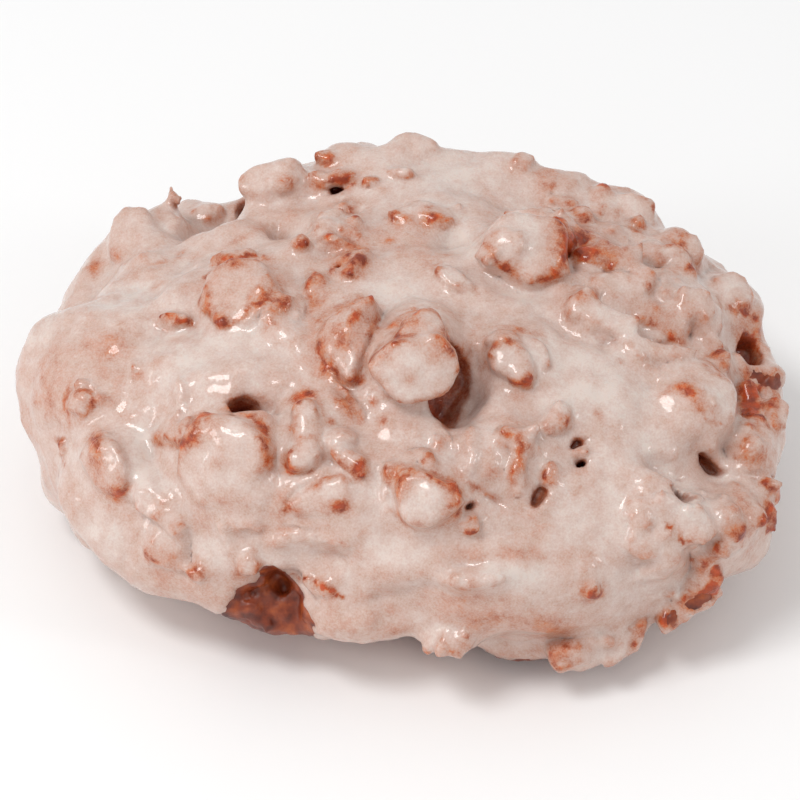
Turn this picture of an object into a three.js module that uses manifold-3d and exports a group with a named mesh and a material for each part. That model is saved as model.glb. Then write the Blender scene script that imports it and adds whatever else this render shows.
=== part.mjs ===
// An apple fritter: one lump of fried dough, chopped up with its apple before it is fried, so that knobs of
// dough and fruit stand out of it all over, and pockets run in between them. It is one solid.
// Millimetres, +Z up. +X is the long way across, and -Y is the side that faces the viewer.
// The origin lies on the surface that the fritter stands on, under the middle of its box.
import * as THREE from "three";
import { mergeVertices } from "three/addons/utils/BufferGeometryUtils.js";
import Module from "manifold-3d";

// ---- driving dimensions of the dough without its knobs ----
const LENGTH = 114;
const DEPTH = 93;
const HEIGHT = 46;
const HEART_HEIGHT = 20; // the heart is the middle of the widest level
const FOOT_DROP = 25; // how far under the heart the round underside would reach, uncut
const PLAN_TURN = -8; // degrees that the long way is turned, seen from above
const ROUNDNESS = 2.35; // 2 is an ellipse, more is boxier
const VIEWER_RISE = 42; // degrees above level, from where each knob's width and height are taken

const SLOW_WAVE = { height: 1.2, length: 14 }; // unevenness of the dough between its knobs
const QUICK_WAVE = { height: 0.4, length: 7 };

const BODY_ROWS = 16; // rows of faces along each of the 20 big triangles of the body's ball
const BODY_FOCUS = 0.25; // how far those rows are drawn together towards the viewer's side
const CHUNK_ROWS = 2; // the same for a chunk
const CHIP_ROWS = 1; // and for a chunk or a pocket smaller than LARGE
const LARGE = 6.5;

// Every place below is a bearing in degrees from +X, seen from above, and a rise above level, both taken
// from the heart.

// Broad swells of the dough: how far each stands out, and how many degrees it spreads.
const SWELLS = [
  { bearing: 176, rise: 6, out: 4, spread: 24 }, // the round lobe at the left end
  { bearing: 150, rise: 14, out: 2.5, spread: 12 }, // the shoulder behind it
  { bearing: 147, rise: 38, out: -5, spread: 13 }, // a saddle at the back, on the left
  { bearing: 176, rise: 32, out: -2.5, spread: 13 }, // which runs on round the left end
  { bearing: 90, rise: 36, out: 2.5, spread: 22 }, // the back of the crown
  { bearing: 45, rise: 24, out: 1, spread: 16 }, // the back, on the right
  { bearing: -8, rise: 0, out: 3, spread: 18 }, // the right end
  { bearing: -30, rise: -2, out: 3, spread: 14 }, // the front of that end
  { bearing: -58, rise: -17, out: 3.5, spread: 18 }, // the front, right of the middle
  { bearing: -118, rise: -22, out: -3, spread: 13 }, // the hollow under the front edge
  { bearing: -88, rise: -22, out: -5, spread: 17 }, // and under the middle of it
];

// Chunks are pieces of apple and of crust that stand right out of the dough, with steep sides. size is the
// width, the height and the thickness through the crust, and turn is anticlockwise as the viewer sees it.
// out is how far the chunk's middle stands out of the dough, corners is the roundness of the block (2 is an
// egg, 5 a block), and taper narrows it towards its top.
const CHUNKS = [
  { name: "apple block", bearing: -85, rise: 52, size: [13.5, 12, 14], turn: 8, out: 1.5, corners: 4.2 },
  { name: "its upper end", bearing: -79, rise: 64, size: [8, 6.5, 9], turn: -15, out: 1.5, corners: 3 },
  { name: "wedge", bearing: -120, rise: 58, size: [12, 14, 9], turn: -28, out: 0.5, corners: 3, taper: 0.8 },
  { name: "upper block", bearing: 13, rise: 56, size: [13, 12, 11], turn: -25, out: 1.5, corners: 3.4 },
  { name: "ledge behind it", bearing: 30, rise: 43, size: [8, 9, 7], turn: 35, out: 1, corners: 3 },
  { name: "top peak", bearing: 89, rise: 34, size: [7, 4.5, 8], turn: -20, out: 1.2, corners: 3 },
  { name: "step", bearing: 129, rise: 32, size: [13, 6, 9], turn: 12, out: 1, corners: 3 },
  { name: "left peak", bearing: 143, rise: 20, size: [7, 8, 9], turn: 15, out: 1.5, corners: 3 },
  { name: "bone foot", bearing: -113, rise: 28, size: [8, 5.5, 6], turn: 12, out: 0.4, corners: 3.4 },
  { name: "bone head", bearing: -116, rise: 35, size: [5.5, 6, 6], turn: -20, out: 0.4, corners: 3 },
  { name: "round block", bearing: -85, rise: 21, size: [10.5, 9.5, 9], turn: -12, out: 0.6, corners: 3.4 },
  { name: "nub beside it", bearing: -92, rise: 27, size: [4, 4, 5], turn: 0, out: 0.8, corners: 2.6 },
  { name: "nub on the mound", bearing: -138, rise: 25, size: [4, 5.5, 5], turn: -20, out: 1, corners: 2.6 },
  { name: "left oblong", bearing: -149, rise: 11, size: [7, 10, 7], turn: 18, out: 0.4, corners: 3 },
  { name: "chip on the crown", bearing: -26, rise: 73, size: [7, 4.5, 5], turn: -35, out: 0.6, corners: 3 },
  { name: "right knob", bearing: -49, rise: 45, size: [8.5, 8.5, 7], turn: -20, out: 0.6, corners: 3.2 },
  { name: "fold ridge", bearing: -41, rise: 11, size: [16, 6, 8], turn: -32, out: 0.8, corners: 3 },
  { name: "edge crag", bearing: -41, rise: -4, size: [6, 8, 7], turn: -25, out: 1.2, corners: 3.4 },
  { name: "edge crag's foot", bearing: -45, rise: -8, size: [6, 6, 7], turn: 10, out: 1, corners: 3.4 },
  { name: "end crust", bearing: -4, rise: 9, size: [7, 9, 9], turn: 0, out: -1, corners: 3.2 },
  { name: "end plate", bearing: 12, rise: 11, size: [10, 10, 9], turn: -10, out: -0.6, corners: 3.4 },
  { name: "back lobe", bearing: 20, rise: 21, size: [9, 8, 9], turn: -20, out: 0.8, corners: 2.4 },
  { name: "back plate", bearing: 37, rise: 20, size: [10, 8, 8], turn: -15, out: 0.8, corners: 3.2 },
  { name: "low nub", bearing: -120, rise: 4, size: [4, 5.5, 5], turn: 30, out: 0.8, corners: 2.6 },
  { name: "bare crust", bearing: -115, rise: -11, size: [14, 8, 10], turn: 4, out: -0.8, corners: 2.8 },
  { name: "skirt nub", bearing: -61, rise: -13, size: [6, 6, 7], turn: 10, out: 0.8, corners: 2.6 },
];

// Knobs are lower swellings of the dough: up is how far each stands out of it.
const KNOBS = [
  // the crown
  { name: "left plate", bearing: -168, rise: 46, size: [13, 11], turn: 10, up: 3.2, corners: 4 },
  { name: "crag", bearing: 180, rise: 72, size: [6, 10], turn: 20, up: 3.8, corners: 3 },
  { name: "foot of the crag", bearing: -150, rise: 62, size: [6, 9], turn: 15, up: 2.6, corners: 3 },
  { name: "rim of the right knob", bearing: -48, rise: 51, size: [8, 4], turn: 12, up: 3.2, corners: 3 },
  { name: "lip of the cave", bearing: 128, rise: 52, size: [6, 5], turn: 0, up: 2.6, corners: 2.6 },
  { name: "flake", bearing: 142, rise: 58, size: [8, 4.5], turn: -10, up: 2, corners: 2.6 },
  { name: "top bump", bearing: 60, rise: 29, size: [7, 6], turn: 0, up: 3.2, corners: 2.6 },
  { name: "top swell", bearing: 78, rise: 36, size: [30, 12], turn: 0, up: 2, corners: 2.6 },
  // the left end
  { name: "left lobe", bearing: -175, rise: 15, size: [24, 22], turn: 0, up: 3.4, corners: 2.2 },
  { name: "left shoulder", bearing: 153, rise: 18, size: [11, 9], turn: -10, up: 2.9, corners: 2.8 },
  { name: "left saddle", bearing: 150, rise: 33, size: [11, 7], turn: 10, up: 2.3, corners: 2.6 },
  { name: "left dome", bearing: -161, rise: 16, size: [6.5, 6.5], turn: 0, up: 3.2, corners: 2.2 },
  { name: "foot of the dome", bearing: -157, rise: 12, size: [7, 7], turn: -20, up: 2.3, corners: 2.4 },
  { name: "left foot", bearing: -141, rise: -3, size: [20, 12], turn: -30, up: 3.8, corners: 2.4 },
  { name: "left cheek", bearing: -152, rise: 2, size: [14, 12], turn: 0, up: 2.9, corners: 2.4 },
  // the front, on the left
  { name: "mound", bearing: -127, rise: 22, size: [17, 17], turn: 10, up: 5, corners: 2.6 },
  { name: "crest of the mound", bearing: -127, rise: 28, size: [10, 6], turn: -25, up: 5.6, corners: 2.6 },
  { name: "left fold", bearing: -138, rise: 10, size: [9, 15], turn: 14, up: 3.2, corners: 2.6 },
  { name: "low chip", bearing: -128, rise: 2, size: [6, 5.5], turn: 0, up: 2.6, corners: 2.8 },
  { name: "left skirt", bearing: -127, rise: -4, size: [12, 9], turn: -20, up: 3.8, corners: 2.6 },
  // the front, in the middle
  { name: "front plate", bearing: -104, rise: 21, size: [12, 10], turn: 25, up: 3.2, corners: 3.4 },
  { name: "front chip", bearing: -99, rise: 27, size: [7, 4.5], turn: 30, up: 2.9, corners: 2.6 },
  { name: "front ledge", bearing: -82, rise: 9, size: [28, 6], turn: 3, up: 2.3, corners: 2.8 },
  { name: "front belly", bearing: -70, rise: 2, size: [34, 14], turn: 0, up: 2.9, corners: 2.6 },
  { name: "ridge in the middle", bearing: -98, rise: 38, size: [18, 6], turn: -18, up: 2.3, corners: 2.6 },
  { name: "hook", bearing: -64, rise: 31, size: [4.5, 8], turn: 12, up: 2.9, corners: 2.4 },
  { name: "hook's shoulder", bearing: -69, rise: 28, size: [9, 8], turn: -20, up: 2.9, corners: 2.8 },
  { name: "skirt block", bearing: -101, rise: -5, size: [15, 9], turn: -6, up: 4.1, corners: 3 },
  { name: "middle skirt", bearing: -82, rise: -6, size: [9, 8], turn: 0, up: 3.8, corners: 2.6 },
  { name: "right skirt", bearing: -53, rise: -14, size: [12, 10], turn: 0, up: 4.4, corners: 2.8 },
  // the right end
  { name: "lip of the fold's crack", bearing: -48, rise: 7, size: [14, 6], turn: -55, up: 3.5, corners: 3 },
  { name: "end lobe", bearing: -31, rise: 1, size: [19, 17], turn: 0, up: 4.4, corners: 2.3 },
  { name: "end bump", bearing: -15, rise: 6, size: [9, 12], turn: 0, up: 3.8, corners: 2.6 },
  { name: "end knob", bearing: -22, rise: 6, size: [9, 8], turn: 0, up: 4.1, corners: 2.4 },
  { name: "smooth lip", bearing: -25, rise: 17, size: [15, 15], turn: -15, up: 4.1, corners: 2.4 },
  { name: "nub on the lip", bearing: -14, rise: 21, size: [6, 6], turn: 0, up: 3.5, corners: 2.6 },
  { name: "back nub", bearing: 44, rise: 23, size: [7, 6], turn: 0, up: 3.2, corners: 2.6 },
  { name: "back bump", bearing: 49, rise: 30, size: [9, 7], turn: -15, up: 2.9, corners: 2.6 },
  { name: "slope knob", bearing: 11, rise: 36, size: [10, 8.5], turn: -20, up: 3.5, corners: 2.8 },
  { name: "slope dome", bearing: -1, rise: 32, size: [9, 9], turn: 0, up: 3.2, corners: 2.2 },
  { name: "slope block", bearing: 3, rise: 24, size: [10, 11], turn: 10, up: 3.8, corners: 3 },
  { name: "long leaf", bearing: -14, rise: 42, size: [15, 6], turn: -30, up: 2.6, corners: 2.8 },
  { name: "second leaf", bearing: -20, rise: 34, size: [15, 6], turn: -22, up: 2.6, corners: 2.8 },
  { name: "right plate", bearing: -37, rise: 30, size: [14, 12], turn: -20, up: 2, corners: 2.6 },
];

// Furrows are shallow hollows of the dough: down is how deep each is.
const FURROWS = [
  { name: "under the left fold", bearing: -142, rise: 14, size: [4, 15], turn: 14, down: 2.6, corners: 2.4 },
  { name: "beside the mound", bearing: -117, rise: 22, size: [5, 14], turn: -8, down: 2.1, corners: 2.4 },
  { name: "under the block", bearing: -82, rise: 41, size: [16, 5], turn: 8, down: 1.8, corners: 2.4 },
  { name: "left of the block", bearing: -104, rise: 52, size: [5, 16], turn: -10, down: 1.6, corners: 2.4 },
  { name: "saddle at the back", bearing: 140, rise: 24, size: [7, 10], turn: 20, down: 2.3, corners: 2.4 },
  { name: "above the end lobe", bearing: -33, rise: 12, size: [7, 14], turn: -45, down: 3.9, corners: 2.4 },
  { name: "under the end crust", bearing: -8, rise: 3, size: [14, 5], turn: 0, down: 2.3, corners: 2.4 },
  { name: "arch over bare crust", bearing: -115, rise: -2, size: [13, 9], turn: 6, down: 4.4, corners: 2.6 },
  { name: "under the plate", bearing: -106, rise: 9, size: [10, 4], turn: -10, down: 1.8, corners: 2.4 },
];

// Pockets are cut right into the dough: size is the width, the height and the depth.
const POCKETS = [
  { name: "beside the apple block", bearing: -68, rise: 43, size: [6, 16, 11], turn: -14 },
  { name: "over the mound", bearing: -131, rise: 32, size: [7, 2.8, 11], turn: -4 },
  { name: "lower of the two holes", bearing: -54, rise: 23, size: [3, 2.6, 8], turn: 15 },
  { name: "upper of the two holes", bearing: -52, rise: 27, size: [2.6, 2.8, 6], turn: -30 },
  { name: "slanting pit", bearing: -62, rise: 22, size: [3.4, 7, 5], turn: -38 },
  { name: "cave in the crown", bearing: 118, rise: 50, size: [5.5, 3.6, 8], turn: 25 },
  { name: "notch behind the step", bearing: 145, rise: 38, size: [4, 6, 6], turn: 30 },
  { name: "behind the upper block", bearing: 36, rise: 47, size: [9, 3.4, 8], turn: -10 },
  { name: "beside the upper block", bearing: 16, rise: 44, size: [4.5, 6, 6], turn: 0 },
  { name: "under the fold ridge", bearing: -39, rise: 15, size: [11, 3.4, 7], turn: -35 },
  { name: "crack in the fold", bearing: -45, rise: 9, size: [11, 2.4, 5], turn: -55 },
  { name: "hole in the end", bearing: -20, rise: 2, size: [4, 2.8, 6], turn: -20 },
  { name: "hollow in the crust", bearing: -3, rise: 14, size: [5, 7, 7], turn: 0 },
];

// Where nothing is named, the crust has low knobs of many sizes. clear is how many degrees they keep away
// from the named ones, and lowest is the rise at which the flat foot begins.
const SCATTER = { spots: 290, clear: 9, least: 5, most: 15, up: 2.8, lowest: -50, seed: 7 };

const wasm = await Module();
wasm.setup();

// ---- three.js geometry to and from a solid that can be cut and joined ----
function toSolid(geometry) {
  const bare = geometry.clone();
  bare.deleteAttribute("normal");
  bare.deleteAttribute("uv");
  const merged = mergeVertices(bare, 1e-4);
  return new wasm.Manifold(
    new wasm.Mesh({
      numProp: 3,
      vertProperties: merged.attributes.position.array,
      triVerts: new Uint32Array(merged.index.array),
    }),
  );
}

function toGeometry(solid) {
  const mesh = solid.getMesh();
  const geometry = new THREE.BufferGeometry();
  geometry.setAttribute("position", new THREE.BufferAttribute(mesh.vertProperties, 3));
  geometry.setIndex(new THREE.BufferAttribute(mesh.triVerts, 1));
  geometry.computeVertexNormals();
  return geometry;
}

// ---- unevenness, the same in each run ----
// A steady random number from 0 to 1 for three whole numbers.
function draw(i, j, k) {
  const mixed = Math.sin(i * 127.1 + j * 311.7 + k * 74.7) * 43758.5453;
  return mixed - Math.floor(mixed);
}

// Smooth noise from -1 to 1 that changes over about one unit.
function noise(p) {
  const corner = p.clone().floor();
  const along = p.clone().sub(corner);
  const ease = (t) => t * t * (3 - 2 * t);
  let sum = 0;
  for (const dx of [0, 1])
    for (const dy of [0, 1])
      for (const dz of [0, 1]) {
        const weight =
          (dx ? ease(along.x) : 1 - ease(along.x)) *
          (dy ? ease(along.y) : 1 - ease(along.y)) *
          (dz ? ease(along.z) : 1 - ease(along.z));
        sum += weight * draw(corner.x + dx, corner.y + dy, corner.z + dz);
      }
  return 2 * sum - 1;
}

// ---- the dough's outline ----
const radians = THREE.MathUtils.degToRad;

// The unit vector from the heart at a bearing and a rise in degrees.
function pointing({ bearing, rise }) {
  const level = Math.cos(radians(rise));
  return new THREE.Vector3(
    level * Math.cos(radians(bearing)),
    level * Math.sin(radians(bearing)),
    Math.sin(radians(rise)),
  );
}

const viewer = pointing({ bearing: -90, rise: VIEWER_RISE });

// How far the edge lies from the heart, seen from above, at a bearing in radians from +X.
function planRadius(bearing) {
  const turned = bearing - radians(PLAN_TURN);
  const across = Math.abs(Math.cos(turned)) / (LENGTH / 2);
  const along = Math.abs(Math.sin(turned)) / (DEPTH / 2);
  return (across ** ROUNDNESS + along ** ROUNDNESS) ** (-1 / ROUNDNESS);
}

// The point of the smooth dough in a direction from its heart.
function surfacePoint(direction) {
  const level = Math.hypot(direction.x, direction.y) / planRadius(Math.atan2(direction.y, direction.x));
  const upright = Math.abs(direction.z) / (direction.z > 0 ? HEIGHT - HEART_HEIGHT : FOOT_DROP);
  let reach = (level ** ROUNDNESS + upright ** ROUNDNESS) ** (-1 / ROUNDNESS);
  for (const swell of SWELLS) {
    const away = direction.angleTo(pointing(swell)) / radians(swell.spread);
    reach += swell.out * Math.exp(-away * away);
  }
  const point = direction.clone().multiplyScalar(reach);
  point.z += HEART_HEIGHT;
  return point;
}

// The outward normal of the smooth dough where a direction leaves it.
function surfaceNormal(direction) {
  const step = 0.05;
  const aside = new THREE.Vector3(-direction.y, direction.x, 0.01).normalize();
  const upward = direction.clone().cross(aside);
  const here = surfacePoint(direction);
  const east = surfacePoint(direction.clone().addScaledVector(aside, step).normalize()).sub(here);
  const north = surfacePoint(direction.clone().addScaledVector(upward, step).normalize()).sub(here);
  return east.cross(north).normalize();
}

// The frame of a feature: it lies on the dough, its z axis stands out of it, and its x and y axes are the
// width and the height that the viewer would see.
function frameOf({ bearing, rise, turn = 0 }, out = 0) {
  const direction = pointing({ bearing, rise });
  const normal = surfaceNormal(direction);
  const level = new THREE.Vector3(1, 0, 0);
  const facingViewer = new THREE.Matrix4().makeBasis(level, viewer.clone().cross(level), viewer);
  const outward = new THREE.Quaternion().setFromUnitVectors(viewer, normal);
  return new THREE.Matrix4()
    .makeRotationFromQuaternion(outward)
    .multiply(facingViewer)
    .multiply(new THREE.Matrix4().makeRotationZ(radians(turn)))
    .setPosition(surfacePoint(direction).addScaledVector(normal, out));
}

// ---- the dough's relief ----
// Low knobs for the crust that nothing named covers, spread evenly by the golden angle.
function scattered() {
  const { spots, clear, least, most, up, lowest, seed } = SCATTER;
  const goldenAngle = 180 * (3 - Math.sqrt(5));
  const taken = [...CHUNKS, ...KNOBS, ...FURROWS, ...POCKETS].map(pointing);
  const found = [];
  for (let i = 0; i < spots; i++) {
    const evenRise = THREE.MathUtils.radToDeg(Math.asin(1 - (2 * (i + 0.5)) / spots));
    const rise = evenRise + 5 * (draw(i, 1, seed) - 0.5);
    const bearing = ((i * goldenAngle) % 360) + 7 * (draw(i, 2, seed) - 0.5);
    const direction = pointing({ bearing, rise });
    if (rise < lowest || taken.some((other) => direction.angleTo(other) < radians(clear))) continue;
    const width = least + (most - least) * draw(i, 3, seed) ** 1.5;
    found.push({
      bearing,
      rise,
      size: [width, width * (0.5 + 0.4 * draw(i, 4, seed))],
      turn: 180 * draw(i, 5, seed),
      up: up * (0.4 + 0.9 * draw(i, 6, seed)),
      corners: 2.2 + 1.4 * draw(i, 7, seed),
    });
  }
  return found;
}

// A round-shouldered bump of a feature's width and height at a point, from 0 outside it to 1 on top.
function bump({ inverse, size, corners, seed }, point) {
  const p = point.clone().applyMatrix4(inverse);
  const [width, height] = size;
  if (Math.abs(p.z) > width + height || Math.hypot(p.x, p.y) > width + height) return 0;
  const across = Math.abs(p.x) / (width / 2);
  const along = Math.abs(p.y) / (height / 2);
  const away = (across ** corners + along ** corners) ** (1 / corners);
  const uneven = 0.2 * noise(new THREE.Vector3(p.x / width, p.y / height, seed).multiplyScalar(2.3));
  return 1 - THREE.MathUtils.smoothstep(away + uneven, 0.6, 1.25);
}

// Each chunk has a collar, where the dough climbs up its foot.
const COLLAR = { wider: 1.5, up: 1.3 };
const collars = CHUNKS.map(({ size, ...rest }) => ({
  ...rest,
  size: [size[0] * COLLAR.wider, size[1] * COLLAR.wider],
  up: COLLAR.up,
}));
const relief = [...collars, ...KNOBS, ...scattered(), ...FURROWS].map((feature, i) => ({
  ...feature,
  inverse: frameOf(feature).invert(),
  seed: i + 0.5,
}));

// How far the dough stands out of its smooth outline at a point of it. The knobs join softly.
function standing(point) {
  const softness = 3;
  let raised = 0;
  let sunk = 0;
  for (const feature of relief) {
    const share = bump(feature, point);
    raised += ((feature.up ?? 0) * share) ** softness;
    sunk += ((feature.down ?? 0) * share) ** softness;
  }
  const slow = SLOW_WAVE.height * noise(point.clone().divideScalar(SLOW_WAVE.length));
  const quick = QUICK_WAVE.height * noise(point.clone().divideScalar(QUICK_WAVE.length));
  return raised ** (1 / softness) - sunk ** (1 / softness) + slow + quick;
}

function body() {
  const ball = new THREE.IcosahedronGeometry(1, BODY_ROWS);
  const points = ball.attributes.position;
  const direction = new THREE.Vector3();
  for (let i = 0; i < points.count; i++) {
    direction.fromBufferAttribute(points, i).addScaledVector(viewer, BODY_FOCUS).normalize();
    const point = surfacePoint(direction);
    point.addScaledVector(surfaceNormal(direction), standing(point));
    points.setXYZ(i, point.x, point.y, point.z);
  }
  return toSolid(ball);
}

// ---- what is joined to the dough and cut from it ----
// A rounded uneven block of a width, a height and a thickness, narrowed towards its top.
function block({ size, corners, taper = 0 }, unevenness, seed) {
  const [width, height, thickness] = size;
  const rows = Math.max(...size) < LARGE ? CHIP_ROWS : CHUNK_ROWS;
  const ball = new THREE.IcosahedronGeometry(1, rows);
  const points = ball.attributes.position;
  const p = new THREE.Vector3();
  for (let i = 0; i < points.count; i++) {
    p.fromBufferAttribute(points, i).normalize();
    const fullness = p.toArray().reduce((sum, part) => sum + Math.abs(part) ** corners, 0);
    const uneven = 1 + unevenness * noise(p.clone().multiplyScalar(1.4).addScalar(seed * 3.7));
    p.multiplyScalar(uneven * fullness ** (-1 / corners));
    const narrowed = 1 - taper * (0.5 + p.y / 2);
    points.setXYZ(i, (p.x * width * narrowed) / 2, (p.y * height) / 2, (p.z * thickness * narrowed) / 2);
  }
  return ball;
}

function chunk(spec, seed) {
  const unevenness = 0.22;
  return toSolid(block(spec, unevenness, seed).applyMatrix4(frameOf(spec, spec.out)));
}

function pocket(spec, seed) {
  const unevenness = 0.12;
  const corners = 2.2;
  return toSolid(block({ ...spec, corners }, unevenness, seed).applyMatrix4(frameOf(spec)));
}

// The block below the surface that the fritter stands on, which leaves it a flat foot.
function ground() {
  const thickness = 60;
  return toSolid(new THREE.BoxGeometry(3 * LENGTH, 3 * DEPTH, thickness).translate(0, 0, -thickness / 2));
}

// Joins and cuts everything, and keeps the one large piece.
function fritterSolid() {
  let solid = body();
  CHUNKS.forEach((spec, i) => (solid = solid.add(chunk(spec, i + 1))));
  POCKETS.forEach((spec, i) => (solid = solid.subtract(pocket(spec, i + 1))));
  const pieces = solid.subtract(ground()).decompose();
  return pieces.reduce((largest, piece) => (piece.volume() > largest.volume() ? piece : largest));
}

// Moves the geometry so that the middle of its box, seen from above, is over the origin.
function centred(geometry) {
  geometry.computeBoundingBox();
  const middle = geometry.boundingBox.getCenter(new THREE.Vector3());
  return geometry.translate(-middle.x, -middle.y, 0);
}

const glazedDough = new THREE.MeshStandardMaterial({ color: 0xd0b3a7, roughness: 0.3, metalness: 0 });
const fritter = new THREE.Mesh(centred(toGeometry(fritterSolid())), glazedDough);
fritter.name = "fritter";

const group = new THREE.Group();
group.add(fritter);
export default group;
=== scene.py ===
"""A glazed fritter: one lump of fried dough, full of diced fruit and crags of crust, under a thin coat of
white sugar glaze. Metres, in the same frame as the solid; +Z is up and the viewer stands on the -Y side."""
import bpy
import math
import random
import numpy as np
from mathutils import Matrix, Vector, noise
from mathutils.bvhtree import BVHTree


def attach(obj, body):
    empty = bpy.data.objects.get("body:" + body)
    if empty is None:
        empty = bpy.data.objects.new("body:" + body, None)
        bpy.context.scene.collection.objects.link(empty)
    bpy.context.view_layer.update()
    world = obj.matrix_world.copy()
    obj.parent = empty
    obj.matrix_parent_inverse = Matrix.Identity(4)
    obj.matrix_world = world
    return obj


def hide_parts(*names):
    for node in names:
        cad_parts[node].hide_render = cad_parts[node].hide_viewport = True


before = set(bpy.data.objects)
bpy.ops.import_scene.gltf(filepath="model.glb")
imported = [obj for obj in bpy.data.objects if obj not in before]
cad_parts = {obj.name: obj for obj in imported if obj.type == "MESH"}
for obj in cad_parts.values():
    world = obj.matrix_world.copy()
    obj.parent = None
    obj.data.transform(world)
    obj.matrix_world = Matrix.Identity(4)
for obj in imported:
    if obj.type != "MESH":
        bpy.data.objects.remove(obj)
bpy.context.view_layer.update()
MM = 0.001


# ---- The view ----------------------------------------------------------------------------------------------
# The fritter is seen from its long front side and from well above level, through a long lens.
VIEW_RISE = math.radians(42)
VIEW_DISTANCE = 620 * MM
VIEW_AIM = Vector((0, 0, 20 * MM))
VIEW_WIDTH = 129.6 * MM  # that the picture spans at the aim
PICTURE = 800  # pixels a side
AIM_PIXEL = (402, 399)
PIXELS_PER_MM = PICTURE / VIEW_WIDTH * MM

to_viewer = Vector((0, -math.cos(VIEW_RISE), math.sin(VIEW_RISE)))
view_right = Vector((1, 0, 0))
view_up = to_viewer.cross(view_right)
eye = VIEW_AIM + to_viewer * VIEW_DISTANCE

lens = bpy.data.cameras.new("camera")
lens.sensor_width = 36
lens.lens = 36 * VIEW_DISTANCE / VIEW_WIDTH
lens.shift_x = (PICTURE / 2 - AIM_PIXEL[0]) / PICTURE
lens.shift_y = (AIM_PIXEL[1] - PICTURE / 2) / PICTURE
lens.clip_start = 0.01
camera = bpy.data.objects.new("camera", lens)
camera.location = eye
camera.rotation_euler = to_viewer.to_track_quat("Z", "Y").to_euler()
bpy.context.collection.objects.link(camera)
bpy.context.scene.camera = camera


# ---- The dough ---------------------------------------------------------------------------------------------
# One lump of dough, dropped into hot oil by the spoonful, so that it set in soft swells. It starts as the
# solid's own form, made over into an even skin of small faces, with the flats of the large ones smoothed out.
SAME_PLACE = 0.001 * MM  # vertices as near as this are one
FIRST_SKIN = 0.8 * MM  # the side of a face
FACETS_OUT = 45  # rounds of smoothing
SWELLS_ONLY = 220  # rounds that leave nothing smaller than the swells


def only(piece):
    """Selects one piece and nothing else, as an operator acts on all that is selected."""
    if bpy.context.mode != "OBJECT":
        bpy.ops.object.mode_set(mode="OBJECT")
    bpy.ops.object.select_all(action="DESELECT")
    piece.select_set(True)
    bpy.context.view_layer.objects.active = piece


def finish_with(piece, kind, **settings):
    """Adds a modifier to a piece and applies it."""
    only(piece)
    modifier = piece.modifiers.new(kind.lower(), kind)
    for name, value in settings.items():
        setattr(modifier, name, value)
    bpy.ops.object.modifier_apply(modifier=modifier.name)


def even_skin(piece, size):
    """Makes a piece over into one closed skin of small even faces."""
    finish_with(piece, "REMESH", mode="VOXEL", voxel_size=size, use_smooth_shade=True)


def smooth(piece, rounds):
    finish_with(piece, "SMOOTH", factor=0.5, iterations=rounds)


def copy_of(piece, name):
    made = piece.copy()
    made.data = piece.data.copy()
    made.name = name
    bpy.context.collection.objects.link(made)
    return made


dough = bpy.data.objects.new("dough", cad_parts["fritter"].data.copy())
bpy.context.collection.objects.link(dough)
only(dough)
bpy.ops.object.mode_set(mode="EDIT")
bpy.ops.mesh.select_all(action="SELECT")
bpy.ops.mesh.remove_doubles(threshold=SAME_PLACE)
bpy.ops.object.mode_set(mode="OBJECT")
even_skin(dough, FIRST_SKIN)
smooth(dough, FACETS_OUT)


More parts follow.
